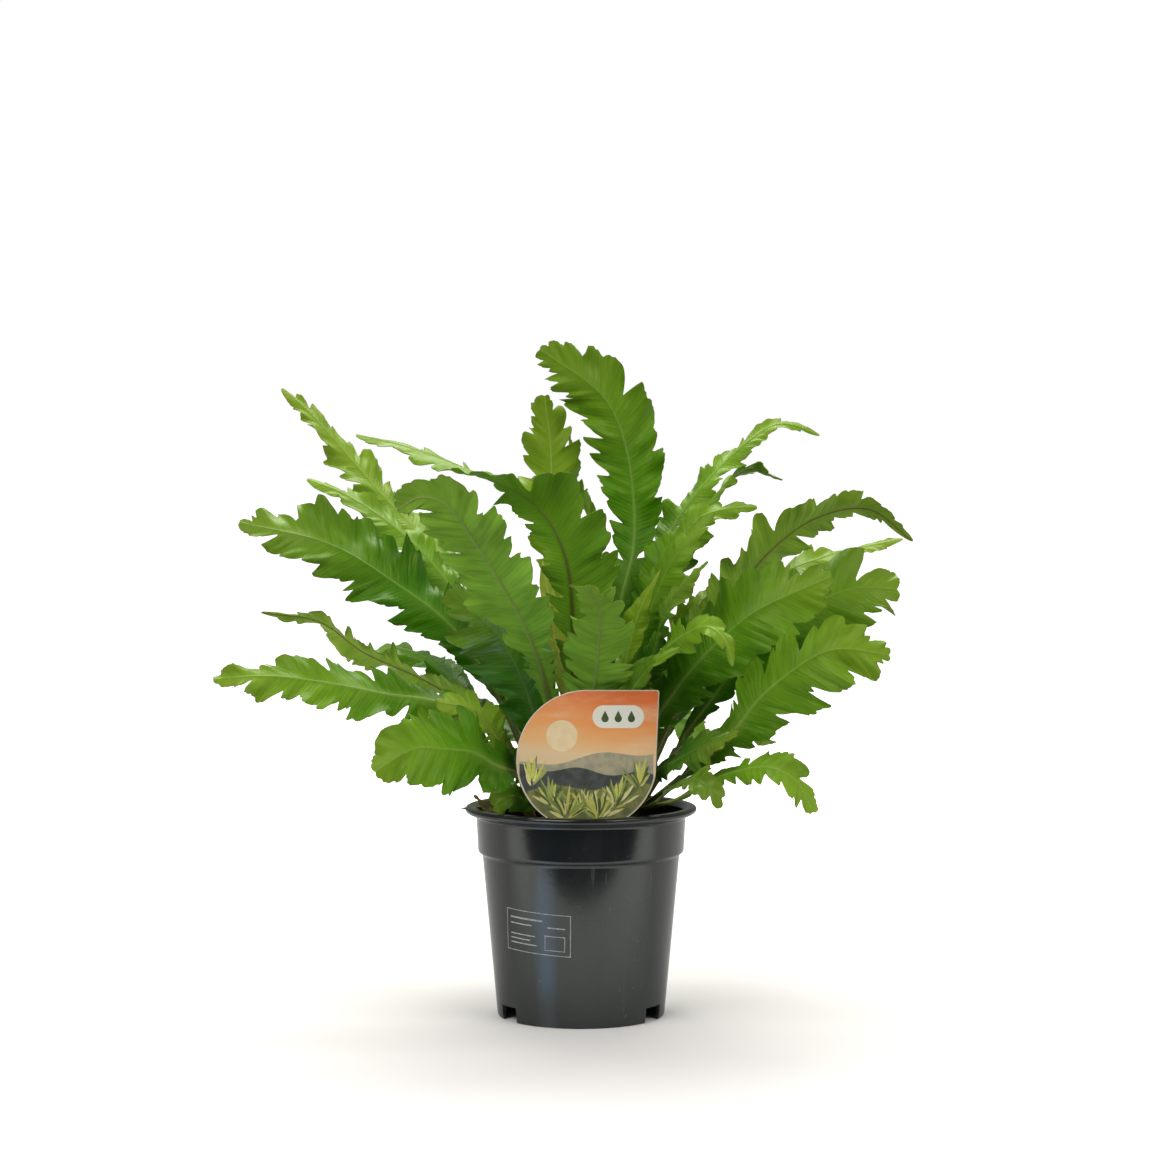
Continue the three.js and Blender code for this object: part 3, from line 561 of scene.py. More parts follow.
class Nodes:
    """Short calls for the nodes of one tree."""

    def __init__(self, tree):
        self.tree = tree

    def set(self, node, sockets):
        for key, value in sockets.items():
            socket = node.inputs[key]
            if isinstance(value, Value):
                self.tree.links.new(value.socket, socket)
            else:
                socket.default_value = (*value, 1) if socket.type == "RGBA" else value

    def node(self, kind, sockets, output=0, **settings):
        made = self.tree.nodes.new("ShaderNode" + kind)
        for key, value in settings.items():
            setattr(made, key, value)
        self.set(made, sockets)
        return Value(self, made.outputs[output])

    def ray(self, kind):
        return self.node("LightPath", {}, f"Is {kind} Ray")

    def coords(self, stretch=(1, 1, 1)):
        """The object's own coordinates, stretched to shape what is read by them."""
        place = self.node("TexCoord", {}, "Object")
        return place if stretch == (1, 1, 1) else self.node("Mapping", {"Vector": place, "Scale": stretch})

    def axis(self, name, place=None):
        return self.node("SeparateXYZ", {0: place or self.coords()}, name)

    def math(self, operation, a, b=0.0):
        return self.node("Math", {0: a, 1: b}, operation=operation)

    def step(self, value, low, high, top=1.0, foot=0.0):
        """A smooth step from foot, where the value is low, to top, where it is high."""
        sockets = dict(enumerate((value, low, high, foot, top)))
        return self.node("MapRange", sockets, interpolation_type="SMOOTHSTEP")

    def mix(self, share, a, b):
        return self.node("Mix", {0: share, 6: a, 7: b}, 2, data_type="RGBA")

    def coats(self, colour, *coats):
        """A colour under coats of other colours, each laid on by its share."""
        for share, coat in coats:
            colour = self.mix(share, colour, coat)
        return colour

    def noise(self, scale, detail=3.0, place=(1, 1, 1), roughness=0.5):
        vector = place if isinstance(place, Value) else self.coords(place)
        sockets = {"Vector": vector, "Scale": scale, "Detail": detail, "Roughness": roughness}
        return self.node("TexNoise", sockets)

    def spots(self, low, high, *texture):
        return self.step(self.noise(*texture), low, high)


class Shader(Nodes):
    """A material with one Principled shader."""

    def __init__(self, name, sockets):
        self.material = bpy.data.materials.new(name)
        self.material.use_nodes = True
        super().__init__(self.material.node_tree)
        self.bsdf = self.tree.nodes["Principled BSDF"]
        self.set(self.bsdf, sockets)

    def bump(self, height, strength, distance):
        sockets = {"Height": height, "Strength": strength, "Distance": distance}
        self.set(self.bsdf, {"Normal": self.node("Bump", sockets)})

    def finish(self, colour, roughness):
        self.set(self.bsdf, {"Base Color": colour, "Roughness": roughness})
        return self.material


LEAF_TONES = {
    # light and deep green of the upper side, underside, rib above, rib below, roughness
    "sheen": ((0.07, 0.225, 0.022), (0.03, 0.125, 0.008), (0.068, 0.198, 0.016), (0.104, 0.22, 0.05),
              (0.095, 0.066, 0.03), 0.24),
    "strip": ((0.42, 0.5, 0.07), (0.26, 0.37, 0.03), (0.36, 0.44, 0.07), (0.5, 0.5, 0.14),
              (0.2, 0.16, 0.04), 0.4),
    "olive": ((0.21, 0.37, 0.024), (0.085, 0.19, 0.01), (0.21, 0.38, 0.04), (0.24, 0.3, 0.06),
              (0.14, 0.11, 0.035), 0.4),
    "bright": ((0.152, 0.33, 0.012), (0.067, 0.204, 0.005), (0.21, 0.45, 0.04), (0.237, 0.385, 0.06),
               (0.228, 0.275, 0.06), 0.38),
    "mid": ((0.1, 0.275, 0.006), (0.042, 0.162, 0.003), (0.133, 0.282, 0.024), (0.19, 0.341, 0.05),
            (0.133, 0.11, 0.035), 0.35),
    "rich": ((0.066, 0.218, 0.003), (0.028, 0.128, 0.002), (0.085, 0.22, 0.014), (0.16, 0.31, 0.04),
             (0.11, 0.1, 0.03), 0.35),
    "deep": ((0.048, 0.158, 0.008), (0.018, 0.085, 0.005), (0.06, 0.18, 0.016), (0.104, 0.22, 0.035),
             (0.095, 0.055, 0.022), 0.27),
    "young": ((0.18, 0.31, 0.012), (0.102, 0.23, 0.006), (0.184, 0.32, 0.028), (0.304, 0.451, 0.08),
              (0.285, 0.33, 0.08), 0.4),
    "pale": ((0.24, 0.5, 0.045), (0.075, 0.225, 0.011), (0.2, 0.45, 0.05), (0.24, 0.38, 0.06),
             (0.247, 0.352, 0.09), 0.42),
}
DRY_TONE = ((0.12, 0.14, 0.03), (0.05, 0.05, 0.014), (0.14, 0.12, 0.05), (0.1, 0.09, 0.03),
            (0.1, 0.07, 0.03), 0.6)
STALK_BROWN = (0.07, 0.042, 0.012)
STALK_PALE = (0.27, 0.26, 0.1)
# Yellow of a frond's tip: partly its own yellowing, and partly painted light that makes the tip lighter.
TIP_YELLOWING_AND_PAINTED_LIGHT = (0.25, 0.36, 0.03)
SHADED = (0.014, 0.075, 0.002)  # of a blade near its stalk
EDGE_BROWN = (0.1, 0.055, 0.012)
BLEMISH = (0.16, 0.14, 0.03)
# Colour and strength of the painted highlights, laid on in pale brushed patches, and the tint of the shine.
PAINTED_HIGHLIGHT_AND_TINT = ((0.3, 0.44, 0.07), 0.4, (0.95, 1.0, 0.6))
BLUE_PAINTED_HIGHLIGHT_AND_TINT = ((0.2, 0.31, 0.4), 0.8, (0.85, 0.95, 1.0))
VEIN_PITCH = 2.3


def leaf_material(name, light, deep, below, rib_above, rib_below, roughness, highlight_paint=PAINTED_HIGHLIGHT_AND_TINT, brown_to=0.8):
    highlight_colour, highlight_share, tint = highlight_paint
    s = Shader(name, {"Specular IOR Level": 0.2, "Specular Tint": tint, "IOR": 1.45})
    along, across, rim, under, grow = (
        s.node("Attribute", {}, "Fac", attribute_name=key)
        for key in ("along", "across", "rim", "under", "grow")
    )
    off = s.math("ABSOLUTE", across)
    swing = s.math("SINE", along * (FULL_TURN / VEIN_PITCH) + s.noise(60, 2) * 9)
    veins = s.math("POWER", swing * 0.5 + 0.5, 2.5) * s.step(off, 0.8, 3) * s.step(grow, 0.95, 0.75)
    streaks = s.noise(1, 4, s.node("CombineXYZ", {0: along * 0.42, 1: across * 0.05, 2: grow}), 0.62)
    tone = s.spots(0.36, 0.64, 24) * 0.5 + s.step(streaks, 0.37, 0.63) * 0.5
    # Painted highlights: pale brushed patches, streaked along the veins and spread at random.
    painted_highlight = s.spots(0.46, 0.7, 1, 4, s.node("CombineXYZ", {0: along * 0.9, 1: across * 0.06, 2: 7}), 0.6)
    painted_highlight = painted_highlight * s.spots(0.5, 0.66, 34, 2, (1, 1, 1.3))
    rib = s.step(off, 1.15, 0.45)
    thin_rib = s.step(off / s.step(grow, 0.1, 0.95, 0.5, 1.9), 1.1, 0.55)
    pale_rib = s.mix(s.step(grow, 0.2, 0.5), STALK_PALE, rib_above)
    line = s.step(s.math("ABSOLUTE", off - 1.75), 0.6, 0.1) * s.step(grow, 0.55, 0.2, 0.65)
    upper = s.coats(
        deep,
        (tone, light),
        (veins * 0.28, light),
        (s.step(grow, 0.7, 0.3, 0.6), SHADED),
        (s.step(grow, 0.24, 0.04, 0.3), rib_above),
        (s.step(grow, 0.55, 1, 0.5), TIP_YELLOWING_AND_PAINTED_LIGHT),
        # painted highlights
        (painted_highlight * highlight_share, highlight_colour),
        (s.step(off, 6, 0.8) * s.step(grow, 0.8, 0.35, 0.42), pale_rib),
        (thin_rib * s.step(grow, 0.15, 0.55, 0.62, 0.85), pale_rib),
        (line, STALK_BROWN),
    )
    lower = s.coats(
        tuple(mix(b, d, 0.6) for b, d in zip(below, deep)),
        (tone, light),
        (s.step(grow, 0.6, 0.25, 0.4), SHADED),
        (s.step(grow, 0.62, 1, 0.35), TIP_YELLOWING_AND_PAINTED_LIGHT),
        # painted highlights, half as strong on the underside
        (painted_highlight * (highlight_share * 0.5), highlight_colour),
        (veins * 0.25, rib_above),
        (s.math("MAXIMUM", rib, thin_rib) * 0.85,
         s.mix(s.step(grow, brown_to - 0.45, brown_to), STALK_BROWN, rib_below)),
        (line, STALK_BROWN),
    )
    colour = s.coats(
        s.mix(under, upper, lower),
        (s.step(rim, 0.75, 0.1) * s.spots(0.4, 0.62, 90, 2) * 0.62, EDGE_BROWN),
        (s.spots(0.7, 0.78, 210, 4) * 0.25, BLEMISH),
    )
    s.bump(veins * 0.6 + s.noise(260, 2) + streaks * 0.8, 0.5, 0.00022)
    return s.finish(colour, under * 0.2 + streaks * 0.12 + (roughness - 0.05))


def pot_material():
    s = Shader("moulded_black_plastic", {"Specular IOR Level": 0.65, "Specular Tint": (0.95, 1.0, 0.98)})
    streak = s.noise(34, 4, (1, 1, 0.08), 0.6)
    cloud = s.noise(9, 4)
    scuffs = s.spots(0.6, 0.8, 150, 5, (1, 1, 0.14), 0.7)
    scratches = s.spots(0.7, 0.76, 260, 2, (1, 1, 0.05), 0.4)
    dust = s.spots(0.66, 0.78, 420)
    colour = s.coats(
        (0.007, 0.0095, 0.011),
        (s.step(cloud, 0.3, 0.7), (0.014, 0.017, 0.017)),
        (s.step(streak, 0.42, 0.75) * 0.4, (0.026, 0.03, 0.028)),
        (scuffs * 0.3, (0.06, 0.063, 0.058)),
        (scratches * 0.22, (0.12, 0.13, 0.13)),
        (dust * 0.24, (0.16, 0.155, 0.14)),
    )
    s.bump(s.noise(300, 2) + streak * 0.8, 0.08, 0.0002)
    return s.finish(colour, streak * 0.1 + cloud * 0.08 + 0.06)


def peat_material(name, dark, mid, pale):
    s = Shader(name, {"Specular IOR Level": 0.25})
    fine, coarse = s.noise(900, 5, roughness=0.7), s.noise(160, 4)
    fibres = s.spots(0.58, 0.75, 500, 3, (1, 0.15, 0.4))
    s.bump(fine + coarse, 0.8, 0.0008)
    colour = s.coats(
        dark, (s.step(coarse, 0.35, 0.65), mid), (fibres * 0.6, pale), (s.step(fine, 0.62, 0.8) * 0.5, pale)
    )
    return s.finish(colour, 0.92)


def print_material(name, colour, second, roughness=0.32):
    """A printed or plain area of the card, with the print's faint mottling."""
    s = Shader(name, {"Specular IOR Level": 0.4})
    s.bump(s.noise(700), 0.04, 0.0001)
    mottling = s.spots(0.35, 0.65, 300, 4)
    return s.finish(s.mix(mottling, colour, second), s.noise(140) * 0.1 + (roughness - 0.05))


CARD_SKY = (
    # height above the card's centre in millimetres, colour
    (-8, (0.66, 0.55, 0.36)), (1, (0.8, 0.6, 0.36)), (10, (0.86, 0.5, 0.22)), (20, (0.9, 0.37, 0.13)),
    (37, (0.84, 0.2, 0.06)),
)
CLOUD = (0.85, 0.62, 0.4)


def sky_material():
    """The card's picture ground: warm bands, made by formula."""
    s = Shader("card_picture", {"Specular IOR Level": 0.4})
    low, span = CARD_SKY[0][0], CARD_SKY[-1][0] - CARD_SKY[0][0]
    mist = (s.noise(60, 4, (0.5, 1, 2.4)) - 0.5) * 0.016
    height = s.axis("Z") - CARD_CENTRE[2] * MM + mist + s.axis("X") * 0.14
    ramp = s.node("ValToRGB", {"Fac": (height - low * MM) / (span * MM)})
    elements = ramp.socket.node.color_ramp.elements
    for k, (at, colour) in enumerate(CARD_SKY):
        element = elements[k] if k < 2 else elements.new(1.0)
        element.position = (at - low) / span
        element.color = (*colour, 1)
    clouds = s.step(s.noise(45, 5, (0.35, 1, 1.5), 0.6), 0.47, 0.7, 0.65)
    s.bump(s.noise(700), 0.04, 0.0001)
    return s.finish(s.mix(clouds, ramp, CLOUD), s.noise(140) * 0.1 + 0.26)


# Pot.
def rounded(profile, radius, steps=3):
    """A profile with each inner corner rounded off."""
    points = [np.array(p, float) for p in profile]
    out = [points[0]]
    for before, here, after in zip(points, points[1:], points[2:]):
        arms = [before - here, after - here]
        lengths = [np.linalg.norm(arm) for arm in arms]
        start, end = (here + arm / l * min(radius, 0.42 * l) for arm, l in zip(arms, lengths))
        for share in np.linspace(0, 1, steps + 1):
            out.append(mix(mix(start, here, share), mix(here, end, share), share))
    return out + [points[-1]]


def guarded(profile, gap=0.5, shortest=6):
    """A profile with a point near both ends of each long side, so that smooth shading leaves it plain."""
    out = [profile[0]]
    for before, after in zip(profile, profile[1:]):
        length = np.linalg.norm(after - before)
        if length > shortest:
            out += [mix(before, after, share) for share in (gap / length, 1 - gap / length)]
        out.append(after)
    return out


def lathe(profile, sides):
    """A closed body turned round +Z from a profile that starts and ends on the axis."""
    vertices, rings = [], []
    for radius, height in profile:
        count = sides if radius > 1e-6 else 1
        rings.append([len(vertices) + k % count for k in range(sides)])
        vertices += [polar(FULL_TURN * k / sides, radius if count > 1 else 0, height) for k in range(count)]
    faces = []
    for lower, higher in zip(rings, rings[1:]):
        for k in range(sides):
            n = (k + 1) % sides
            faces.append(list(dict.fromkeys([lower[k], lower[n], higher[n], higher[k]])))
    return vertices, faces


def box_at(width, depth, height, bearing, radius, z):
    """A box whose depth lies along a bearing."""
    turn = math.radians(bearing)
    ahead, aside = polar(turn) * depth / 2, polar(turn + math.pi / 2) * width / 2
    vertices = [
        polar(turn, radius, z + k * height / 2) + ahead * i + aside * j
        for i in (-1, 1) for j in (-1, 1) for k in (-1, 1)
    ]
    return vertices, [(0, 1, 3, 2), (4, 6, 7, 5), (0, 4, 5, 1), (2, 3, 7, 6), (0, 2, 6, 4), (1, 5, 7, 3)]


def cut_away(obj, tools):
    """Takes the tools' bodies away from obj, and removes the tools."""
    for tool in tools:
        cut = obj.modifiers.new("cut", "BOOLEAN")
        cut.operation, cut.solver, cut.object = "DIFFERENCE", "EXACT", tool
    graph = bpy.context.evaluated_depsgraph_get()
    mesh = bpy.data.meshes.new_from_object(obj.evaluated_get(graph))
    obj.modifiers.clear()
    obj.data = mesh
    for tool in tools:
        bpy.data.objects.remove(tool)


def wall_radius(z):
    return mix(FOOT_RADIUS, WALL_TOP_RADIUS, (z - 1) / (STEP_HEIGHT - 1))


def pot_object(material):
    lip_foot = POT_HEIGHT - RIM_LIP
    inner_foot, inner_top = FOOT_RADIUS - WALL + 0.6, WALL_TOP_RADIUS - WALL
    profile = [
        (0, 0), (CHANNEL_INNER_RADIUS, 0), (CHANNEL_INNER_RADIUS + 1, CHANNEL_RISE),
        (CHANNEL_OUTER_RADIUS, CHANNEL_RISE), (CHANNEL_OUTER_RADIUS + 0.4, 0), (FOOT_RADIUS - 0.5, 0),
        (FOOT_RADIUS, 1), (WALL_TOP_RADIUS, STEP_HEIGHT), (BAND_FOOT_RADIUS, STEP_HEIGHT + 1.6),
        (BAND_TOP_RADIUS, lip_foot - 2.2), (RIM_RADIUS - 0.9, lip_foot), (RIM_RADIUS, lip_foot + 1),
        (RIM_RADIUS, POT_HEIGHT - 1), (RIM_RADIUS - 1, POT_HEIGHT), (RIM_INNER_RADIUS, POT_HEIGHT),
        (BAND_TOP_RADIUS - WALL, POT_HEIGHT - 2.2), (BAND_FOOT_RADIUS - WALL, STEP_HEIGHT + 2),
        (inner_top, STEP_HEIGHT + 0.4), (inner_foot, FLOOR + CHANNEL_RISE),
        (CHANNEL_INNER_RADIUS - 0.8, FLOOR + CHANNEL_RISE), (CHANNEL_INNER_RADIUS - 1.8, FLOOR), (0, FLOOR),
    ]
    obj = new_object("nursery_pot", lathe(guarded(rounded(profile, POT_ROUNDING)), POT_SIDES), material)
    notch = (FOOT_RADIUS + 2 - NOTCH_DEPTH / 2, (NOTCH_HEIGHT - 1) / 2)
    tools = [
        new_object("notch", box_at(NOTCH_WIDTH, NOTCH_DEPTH, NOTCH_HEIGHT + 1, bearing, *notch), [])
        for bearing in NOTCH_BEARINGS
    ]
    middle = (CHANNEL_INNER_RADIUS + CHANNEL_OUTER_RADIUS) / 2
    vertices, faces = lathe([(0, 2), (DRAIN_RADIUS, 2), (DRAIN_RADIUS, 14), (0, 14)], 24)
    for bearing in DRAIN_BEARINGS:
        tools.append(new_object("drain", (vertices + polar(math.radians(bearing), middle), faces), []))
    cut_away(obj, tools)
    obj.data.shade_smooth()
    obj.data.set_sharp_from_angle(angle=math.radians(POT_SHARP_ANGLE))
    place(obj, "pot_plastic", "pot")


# A plain printed frame on the pot's wall: a thin outline, a small empty panel, and bars.
FRAME_BEARING = math.radians(241.3)
FRAME_HEIGHT = 50.6
FRAME_TILT = math.radians(-3)
FRAME = (-19.6, -11.1, 19.6, 11.1)  # left, foot, right, top, as in all that follow
PANEL = (5.4, -8.6, 16.6, -0.6)
FRAME_BARS = [
    (-16.6, 6.4, 4.0, 7.3), (-16.6, 3.4, -2.4, 4.0), (-16.6, -2.2, -0.4, -1.6), (-16.6, -4.6, -3.4, -4.0),
    (-16.6, -7.0, 0.6, -6.4), (6.8, 3.4, 16.6, 4.0),
]
LINE = 0.38


def outline_bars(left, foot, right, top):
    return [
        (left, foot, right, foot + LINE), (left, top - LINE, right, top),
        (left, foot + LINE, left + LINE, top - LINE), (right - LINE, foot + LINE, right, top - LINE),
    ]


def tube(rings):
    """A closed body from rings of four points each."""
    count = len(rings)
    faces = [
        [4 * i + k, 4 * (i + 1) + k, 4 * (i + 1) + (k + 1) % 4, 4 * i + (k + 1) % 4]
        for i in range(count - 1) for k in range(4)
    ]
    return np.reshape(rings, (-1, 3)), faces + [[0, 1, 2, 3], [4 * count - k for k in (1, 2, 3, 4)]]


def join(parts):
    vertices, faces, base = [], [], 0
    for points, corners in parts:
        vertices.extend(points)
        faces.extend([i + base for i in f] for f in corners)
        base = len(vertices)
    return vertices, faces


def pot_print(material):
    bars = []
    for left, foot, right, top in outline_bars(*FRAME) + outline_bars(*PANEL) + FRAME_BARS:
        rings = []
        for across in np.linspace(left, right, max(1, round((right - left) / 1.5)) + 1):
            for up, out in ((foot, -0.15), (foot, 0.05), (top, 0.05), (top, -0.15)):
                z = FRAME_HEIGHT + across * math.sin(FRAME_TILT) + up * math.cos(FRAME_TILT)
                turned = across * math.cos(FRAME_TILT) - up * math.sin(FRAME_TILT)
                rings.append(polar(FRAME_BEARING + turned / wall_radius(z), wall_radius(z) + out, z))
        bars.append(tube(np.reshape(rings, (-1, 4, 3))))
    faceted("pot_print", join(bars), material, "pot_plastic")


# Peat and crown.
SOIL_OUT = BAND_FOOT_RADIUS - WALL - 0.5
SOIL_SIDES = 160
SOIL_RINGS = 34
HEAP_BEARING = 184  # the peat is heaped against the rim there
HEAP_SPREAD = 30
HEAP_HEIGHT = 10.5
CRUMBS = 900
SCALES = 900
CROWN_FOOT = 93
CROWN_SIDES = 96
CROWN_STEPS = 22
LITTER_STEPS = 14
LITTER = (
    # bearing, radius, length and rise of a few dry frond bits on the heap
    (178, 46, 21, 0.55), (184, 49, 17, 0.75), (190, 48, 13, 0.8), (172, 50, 12, 0.7), (196, 46, 12, 0.6),
    (181, 44, 15, 0.9), (187, 52, 9, 1.0), (166, 49, 10, 0.5), (203, 48, 9, 0.5),
)


def crumb(random, centre, size, squash=0.7):
    """A small faceted lump."""
    bm = bmesh.new()
    bmesh.ops.create_icosphere(bm, subdivisions=1, radius=1)
    bm.verts.index_update()
    points = np.array([v.co for v in bm.verts])
    faces = [[v.index for v in f.verts] for f in bm.faces]
    bm.free()
    points *= random.uniform(0.65, 1.3, (len(points), 1))
    turn = np.linalg.qr(random.normal(size=(3, 3)))[0]
    points = points * size * np.array([1, random.uniform(0.6, 1), squash]) @ turn.T
    if np.linalg.det(turn) < 0:
        faces = [f[::-1] for f in faces]
    return points + centre, faces


def soil_height(x, y):
    radius = math.hypot(x, y)
    base = mix(SOIL_TOP, SOIL_EDGE, float(smooth(CROWN_RADIUS, SOIL_OUT, radius)))
    lumps = noise.fractal(Vector((x, y, 3.0)) * 0.09, 1.0, 2.0, 4)
    off = (math.degrees(math.atan2(y, x)) - HEAP_BEARING + 180) % 360 - 180
    heap = HEAP_HEIGHT * math.exp(-((off / HEAP_SPREAD) ** 2)) * float(smooth(33, 49, radius))
    return base + 1.7 * lumps + heap


def soil_object(material):
    """The peat's body: a rough top, and plain where the pot hides it."""
    low = [(0, 2.4), (28.5, 2.4), (29.6, 10.8), (43.4, 10.8), (WALL_TOP_RADIUS - WALL - 0.4, STEP_HEIGHT),
           (SOIL_OUT, STEP_HEIGHT + 3), (SOIL_OUT, SOIL_EDGE - 2)]
    top = [(mix(SOIL_OUT, 0, k / SOIL_RINGS), SOIL_TOP) for k in range(SOIL_RINGS + 1)]
    vertices, faces = lathe(low + top, SOIL_SIDES)
    for point in vertices[-SOIL_RINGS * SOIL_SIDES - 1:]:
        point[2] = soil_height(point[0], point[1])
    place(new_object("peat", (vertices, faces), material), "peat", "soil")


def crumbs_object(material):
    random = np.random.default_rng(71)
    parts = []
    for _ in range(CRUMBS):
        radius = math.sqrt(random.uniform((CROWN_RADIUS - 4) ** 2, (SOIL_OUT - 1.5) ** 2))
        centre = polar(random.uniform(0, FULL_TURN), radius)
        size = 0.6 + 1.7 * random.random() ** 2.5
        centre[2] = soil_height(centre[0], centre[1]) + 0.15 * size
        parts.append(crumb(random, centre, size))
    faceted("peat_crumbs", join(parts), material, "peat")


def crown_height(radius):
    return mix(CROWN_TOP - 1.5, SOIL_TOP - 1, min(1, radius / CROWN_RADIUS) ** 2.2)


def crown_object(material):
    """The root mass: a rough dome, and the narrow scales that cover it."""
    radii = [CROWN_RADIUS * (1 - k / CROWN_STEPS) for k in range(CROWN_STEPS + 1)]
    profile = [(0, CROWN_FOOT), (CROWN_RADIUS, CROWN_FOOT)] + [(r, crown_height(r)) for r in radii]
    vertices, faces = lathe(profile, CROWN_SIDES)
    for point in vertices:
        if point[2] > CROWN_FOOT + 0.5:
            point[2] += 0.9 * noise.fractal(Vector(point) * 0.25, 1.0, 2.0, 3)
    random = np.random.default_rng(29)
    parts = [(vertices, faces)]
    for _ in range(SCALES):
        radius = CROWN_RADIUS * math.sqrt(random.uniform(0, 1)) * 0.98
        out = polar(random.uniform(0, FULL_TURN))
        foot = out * radius + [0, 0, crown_height(radius) - 0.6]
        way = unit(out * random.uniform(-0.3, 0.9) + random.normal(size=3) * 0.35 + [0, 0, 0.7])
        side = unit(np.cross(way, random.normal(size=3)))
        thick = np.cross(side, way) * 0.12
        length, width = random.uniform(2.2, 5.2), random.uniform(0.35, 0.8)
        middle, half = foot + way * length * 0.5, side * width * 0.5
        tip = foot + way * length + random.normal(size=3) * 0.3
        points = [foot - half, foot + half, middle + half, middle - half]
        points = [p + thick for p in points] + [p - thick for p in points] + [tip]
        corners = [[0, 1, 2, 3], [7, 6, 5, 4], [0, 4, 5, 1], [1, 5, 6, 2], [3, 7, 4, 0],
                   [3, 2, 8], [2, 6, 8], [6, 7, 8], [7, 3, 8]]
        parts.append((points, corners))
    faceted("crown_scales", join(parts), material, "crown_scales", "crown")


def ribbon(points, widths, thickness, side):
    """A thin closed strip along points, lying across the side direction."""
    along = unit(np.gradient(points, axis=0))
    across = unit(side - along * (along @ side)[:, None])
    face = np.cross(across, along) * thickness / 2
    reach = across * (widths / 2)[:, None]
    rings = [points - reach + face, points + reach + face, points + reach - face, points - reach - face]
    return tube(np.stack(rings, 1))


def litter_object(material):
    """A few small dry frond bits on the heaped peat, some of them over the rim."""
    random = np.random.default_rng(8)
    share = np.linspace(0, 1, LITTER_STEPS)
    parts = []
    for bearing, radius, length, rise in LITTER:
        out = polar(math.radians(bearing))
        foot = out * radius
        foot[2] = soil_height(foot[0], foot[1]) - 0.4
        way = unit(out + random.normal(size=3) * 0.2 + [0, 0, rise + 0.35])
        droop = np.array([0, 0, -0.2 * length]) * share[:, None] ** 2.5
        lobes = 0.75 + 0.45 * np.sin(share * random.uniform(14, 20))
        widths = 0.4 + random.uniform(2.4, 4.2) * np.sin(np.pi * share**1.4) ** 0.8 * lobes
        points = foot + way * length * share[:, None] + droop
        parts.append(ribbon(points, widths, 0.35, random.normal(size=3) + [0, 0, 0.3]))
    faceted("fern_bits", join(parts), material, "leaf")


# Plant label. Its points are [x, z] in millimetres from the card's centre, seen from the front.
CARD_FRONT = CARD_CENTRE[1] - 0.4
CARD_BACK = CARD_CENTRE[1] + 0.4
CORNER = 1.2
WAVES = (
    # mean height, height and length of the wave, phase, slope
    (1.5, 1.9, 47, 0.6, 0.1), (-5.5, 1.5, 33, 2.4, -0.07), (-14, 1.7, 41, 4.2, 0.04),
)
TUFTS = (
    # place, number of leaves, spread in radians
    (-19, -24, 20, 1.2), (-3, -27, 34, 1.3), (15, -25, 30, 1.25), (27, -15, 16, 0.9), (-29, -14, 12, 0.8),
    (6, -31, 22, 1.2), (-11, -31, 18, 1.2),
)
SUN_CENTRE = (-13, 13)
SUN_RADIUS = 8.2
PANEL_BOX = (3, 17, 30, 29)  # left, foot, right, top
PANEL_CORNER = 5.9
DROPS = (9.6, 16.5, 23.4)


def arc(radius, start, end, steps, centre=(0, 0)):
    return [tuple(polar(turn, radius)[:2] + centre) for turn in np.linspace(start, end, steps)]


def plate(outline, front, back):
    """A flat closed body between two depths, from its outline counted anticlockwise from the front."""
    count = len(outline)
    cx, _, cz = CARD_CENTRE
    vertices = [(cx + x, y, cz + z) for y in (front, back) for x, z in outline]
    faces = [list(range(count)), list(range(2 * count - 1, count - 1, -1))]
    faces += [[(k + 1) % count, k, k + count, (k + 1) % count + count] for k in range(count)]
    return vertices, faces


def area(outline, rise):
    """A printed area, as a plate that stands a hair off the card's front."""
    return plate(outline, CARD_FRONT - rise, CARD_FRONT + 0.05)


def printed(name, body, material):
    return faceted(name, body, material, "label_plastic")


def card_edge(inset=0.0, foot_points=()):
    """The card's outline: round, with one square corner, and with the spike's points at its foot if given."""
    radius, bottom = CARD_RADIUS - inset, 1.5 * math.pi
    end = FULL_TURN + math.atan2(CARD_EDGE_FOOT[1], CARD_EDGE_FOOT[0])
    if foot_points:
        half = math.asin(SPIKE_WIDTH / 2 / CARD_RADIUS)
        points = arc(radius, math.pi / 2, bottom - half, 70) + foot_points
        points += arc(radius, bottom + half, end, 50)
    else:
        points = arc(radius, math.pi / 2, end, 120)
    return points + arc(CORNER, 0, math.pi / 2, 6, [c - inset - CORNER for c in CARD_CORNER])


def label_object(plastic, picture):
    """The card with its spike, and the printed ground on its front."""
    half, end = SPIKE_WIDTH / 2, SPIKE_FOOT - CARD_CENTRE[2]
    spike = [(-half, end + SPIKE_POINT), (-1, end), (1, end), (half, end + SPIKE_POINT)]
    card = plate(card_edge(foot_points=spike), CARD_FRONT, CARD_BACK)
    obj = faceted("plant_label", card, plastic, "label_plastic", "plant_label")
    bevel = obj.modifiers.new("edge", "BEVEL")
    bevel.width, bevel.segments, bevel.limit_method = 0.12 * MM, 2, "ANGLE"
    printed("label_picture", plate(card_edge(0.5), CARD_FRONT - 0.03, CARD_FRONT + 0.1), picture)


def leaf_outline(x, z, length, width, lean):
    """A plain pointed oval, standing at x, z and leaning by lean radians."""
    points = []
    for side, steps in ((1, np.linspace(0, 1, 9)), (-1, np.linspace(1, 0, 9)[1:-1])):
        for share in steps:
            aside = side * width / 2 * math.sin(math.pi * share**0.8) ** 0.8 if 0 < share < 1 else 0
            along = length * share
            points.append((x + aside * math.cos(lean) - along * math.sin(lean),
                           z + along * math.cos(lean) + aside * math.sin(lean)))
    return points[::-1]


